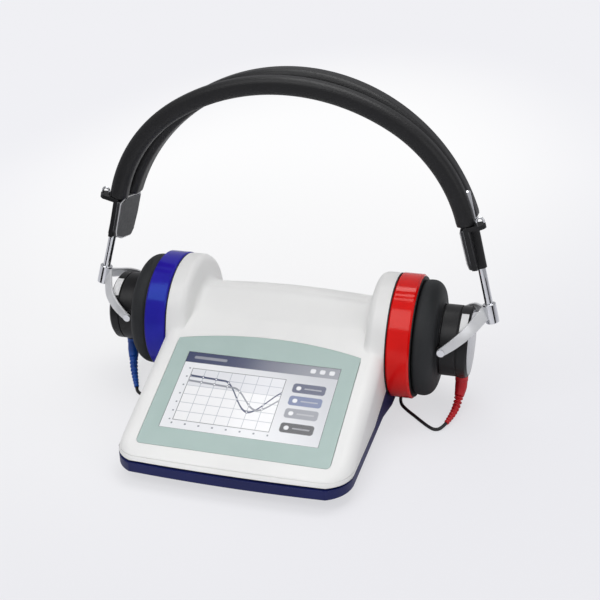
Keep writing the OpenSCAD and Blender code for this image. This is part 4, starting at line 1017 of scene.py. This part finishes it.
def floorPaper(plan):
    g = Graph("floorPaper")
    x, y = g.axes()[:2]
    # Painted pool of light: whiter paper round that spot, fading to the floor colour further out
    (midX, midY), (wideX, wideY) = plan["whiteAt"], plan["whiteSize"]
    away = (((x - midX) / wideX) ** 2 + ((y - midY) / wideY) ** 2) ** 0.5
    fine = g.noise(600.0, 1.0)
    paper = g.mix(g.mix(plan["white"], plan["floor"], away.ramp(0.6, 1.7)), plan["floor"], fine * 0.1)
    shaded = g.mix((0, 0, 0, 1), paper, plan["floorShade"])
    g.set(Base_Color=shaded, Roughness=0.6 + fine * 0.1, Specular_IOR_Level=0.15)
    # The camera sees part of the paper's colour as it is, so that its shadows stay faint
    glow = g.node("Emission", {}, {"Color": paper, "Strength": 1.0})
    seen = Signal(g, g.node("LightPath").outputs["Is Camera Ray"])
    near, far = plan["glowNear"], plan["glowFar"]
    distance = (x * x + y * y) ** 0.5
    both = g.node("MixShader", {}, {"Fac": seen * (near + distance.ramp(0.2, 0.65) * (far - near))})
    g.tree.links.new(g.main.outputs["BSDF"], both.inputs[1])
    g.tree.links.new(glow.outputs["Emission"], both.inputs[2])
    g.tree.links.new(both.outputs["Shader"], g.tree.nodes["Material Output"].inputs["Surface"])
    return g.material


def makeStudio(plan):
    h = plan["floorHalf"]
    stageCard("floor", [(-h, -h, 0), (h, -h, 0), (h, h, 0), (-h, h, 0)], floorPaper(plan))
    # Dark cards that only mirrors see, for the streaks in the chrome
    dark = Graph("flagCloth")
    matt = 0.9 + dark.noise(400.0) * 0.1
    dark.set(Base_Color=plan["flagPaint"], Roughness=matt, Specular_IOR_Level=0.0)
    for flag in plan["flags"]:
        (x0, y0), (x1, y1) = flag["foot"]
        corners = [(x0, y0, 0), (x1, y1, 0), (x1, y1, flag["high"]), (x0, y0, flag["high"])]
        made = stageCard(flag["name"], corners, dark.material)
        made.visible_camera = made.visible_diffuse = False
        made.visible_shadow = made.visible_transmission = False
    world = bpy.data.worlds.new("studio")
    world.use_nodes = True
    tree = world.node_tree
    back = tree.nodes["Background"]
    back.inputs["Color"].default_value = plan["world"]
    # Past the floor's edge the camera meets the same pale tone as the paper
    path = tree.nodes.new("ShaderNodeLightPath")
    span = tree.nodes.new("ShaderNodeMapRange")
    span.inputs["To Min"].default_value = plan["worldStrength"]
    span.inputs["To Max"].default_value = plan["worldSeen"]
    tree.links.new(path.outputs["Is Camera Ray"], span.inputs["Value"])
    tree.links.new(span.outputs["Result"], back.inputs["Strength"])
    bpy.context.scene.world = world
    for lamp in plan["lamps"]:
        data = bpy.data.lights.new(lamp["name"], "AREA")
        data.shape = "RECTANGLE"
        data.size, data.size_y = lamp["size"]
        data.energy = lamp["power"]
        made = addObject(lamp["name"], data)
        direction = Vector(lamp["aim"]) - Vector(lamp["at"])
        made.location = lamp["at"]
        made.rotation_mode = "QUATERNION"
        made.rotation_quaternion = direction.to_track_quat("-Z", "Y")
    bpy.context.scene.view_settings.view_transform = "Standard"


makeStudio(studio)
print("studio made")
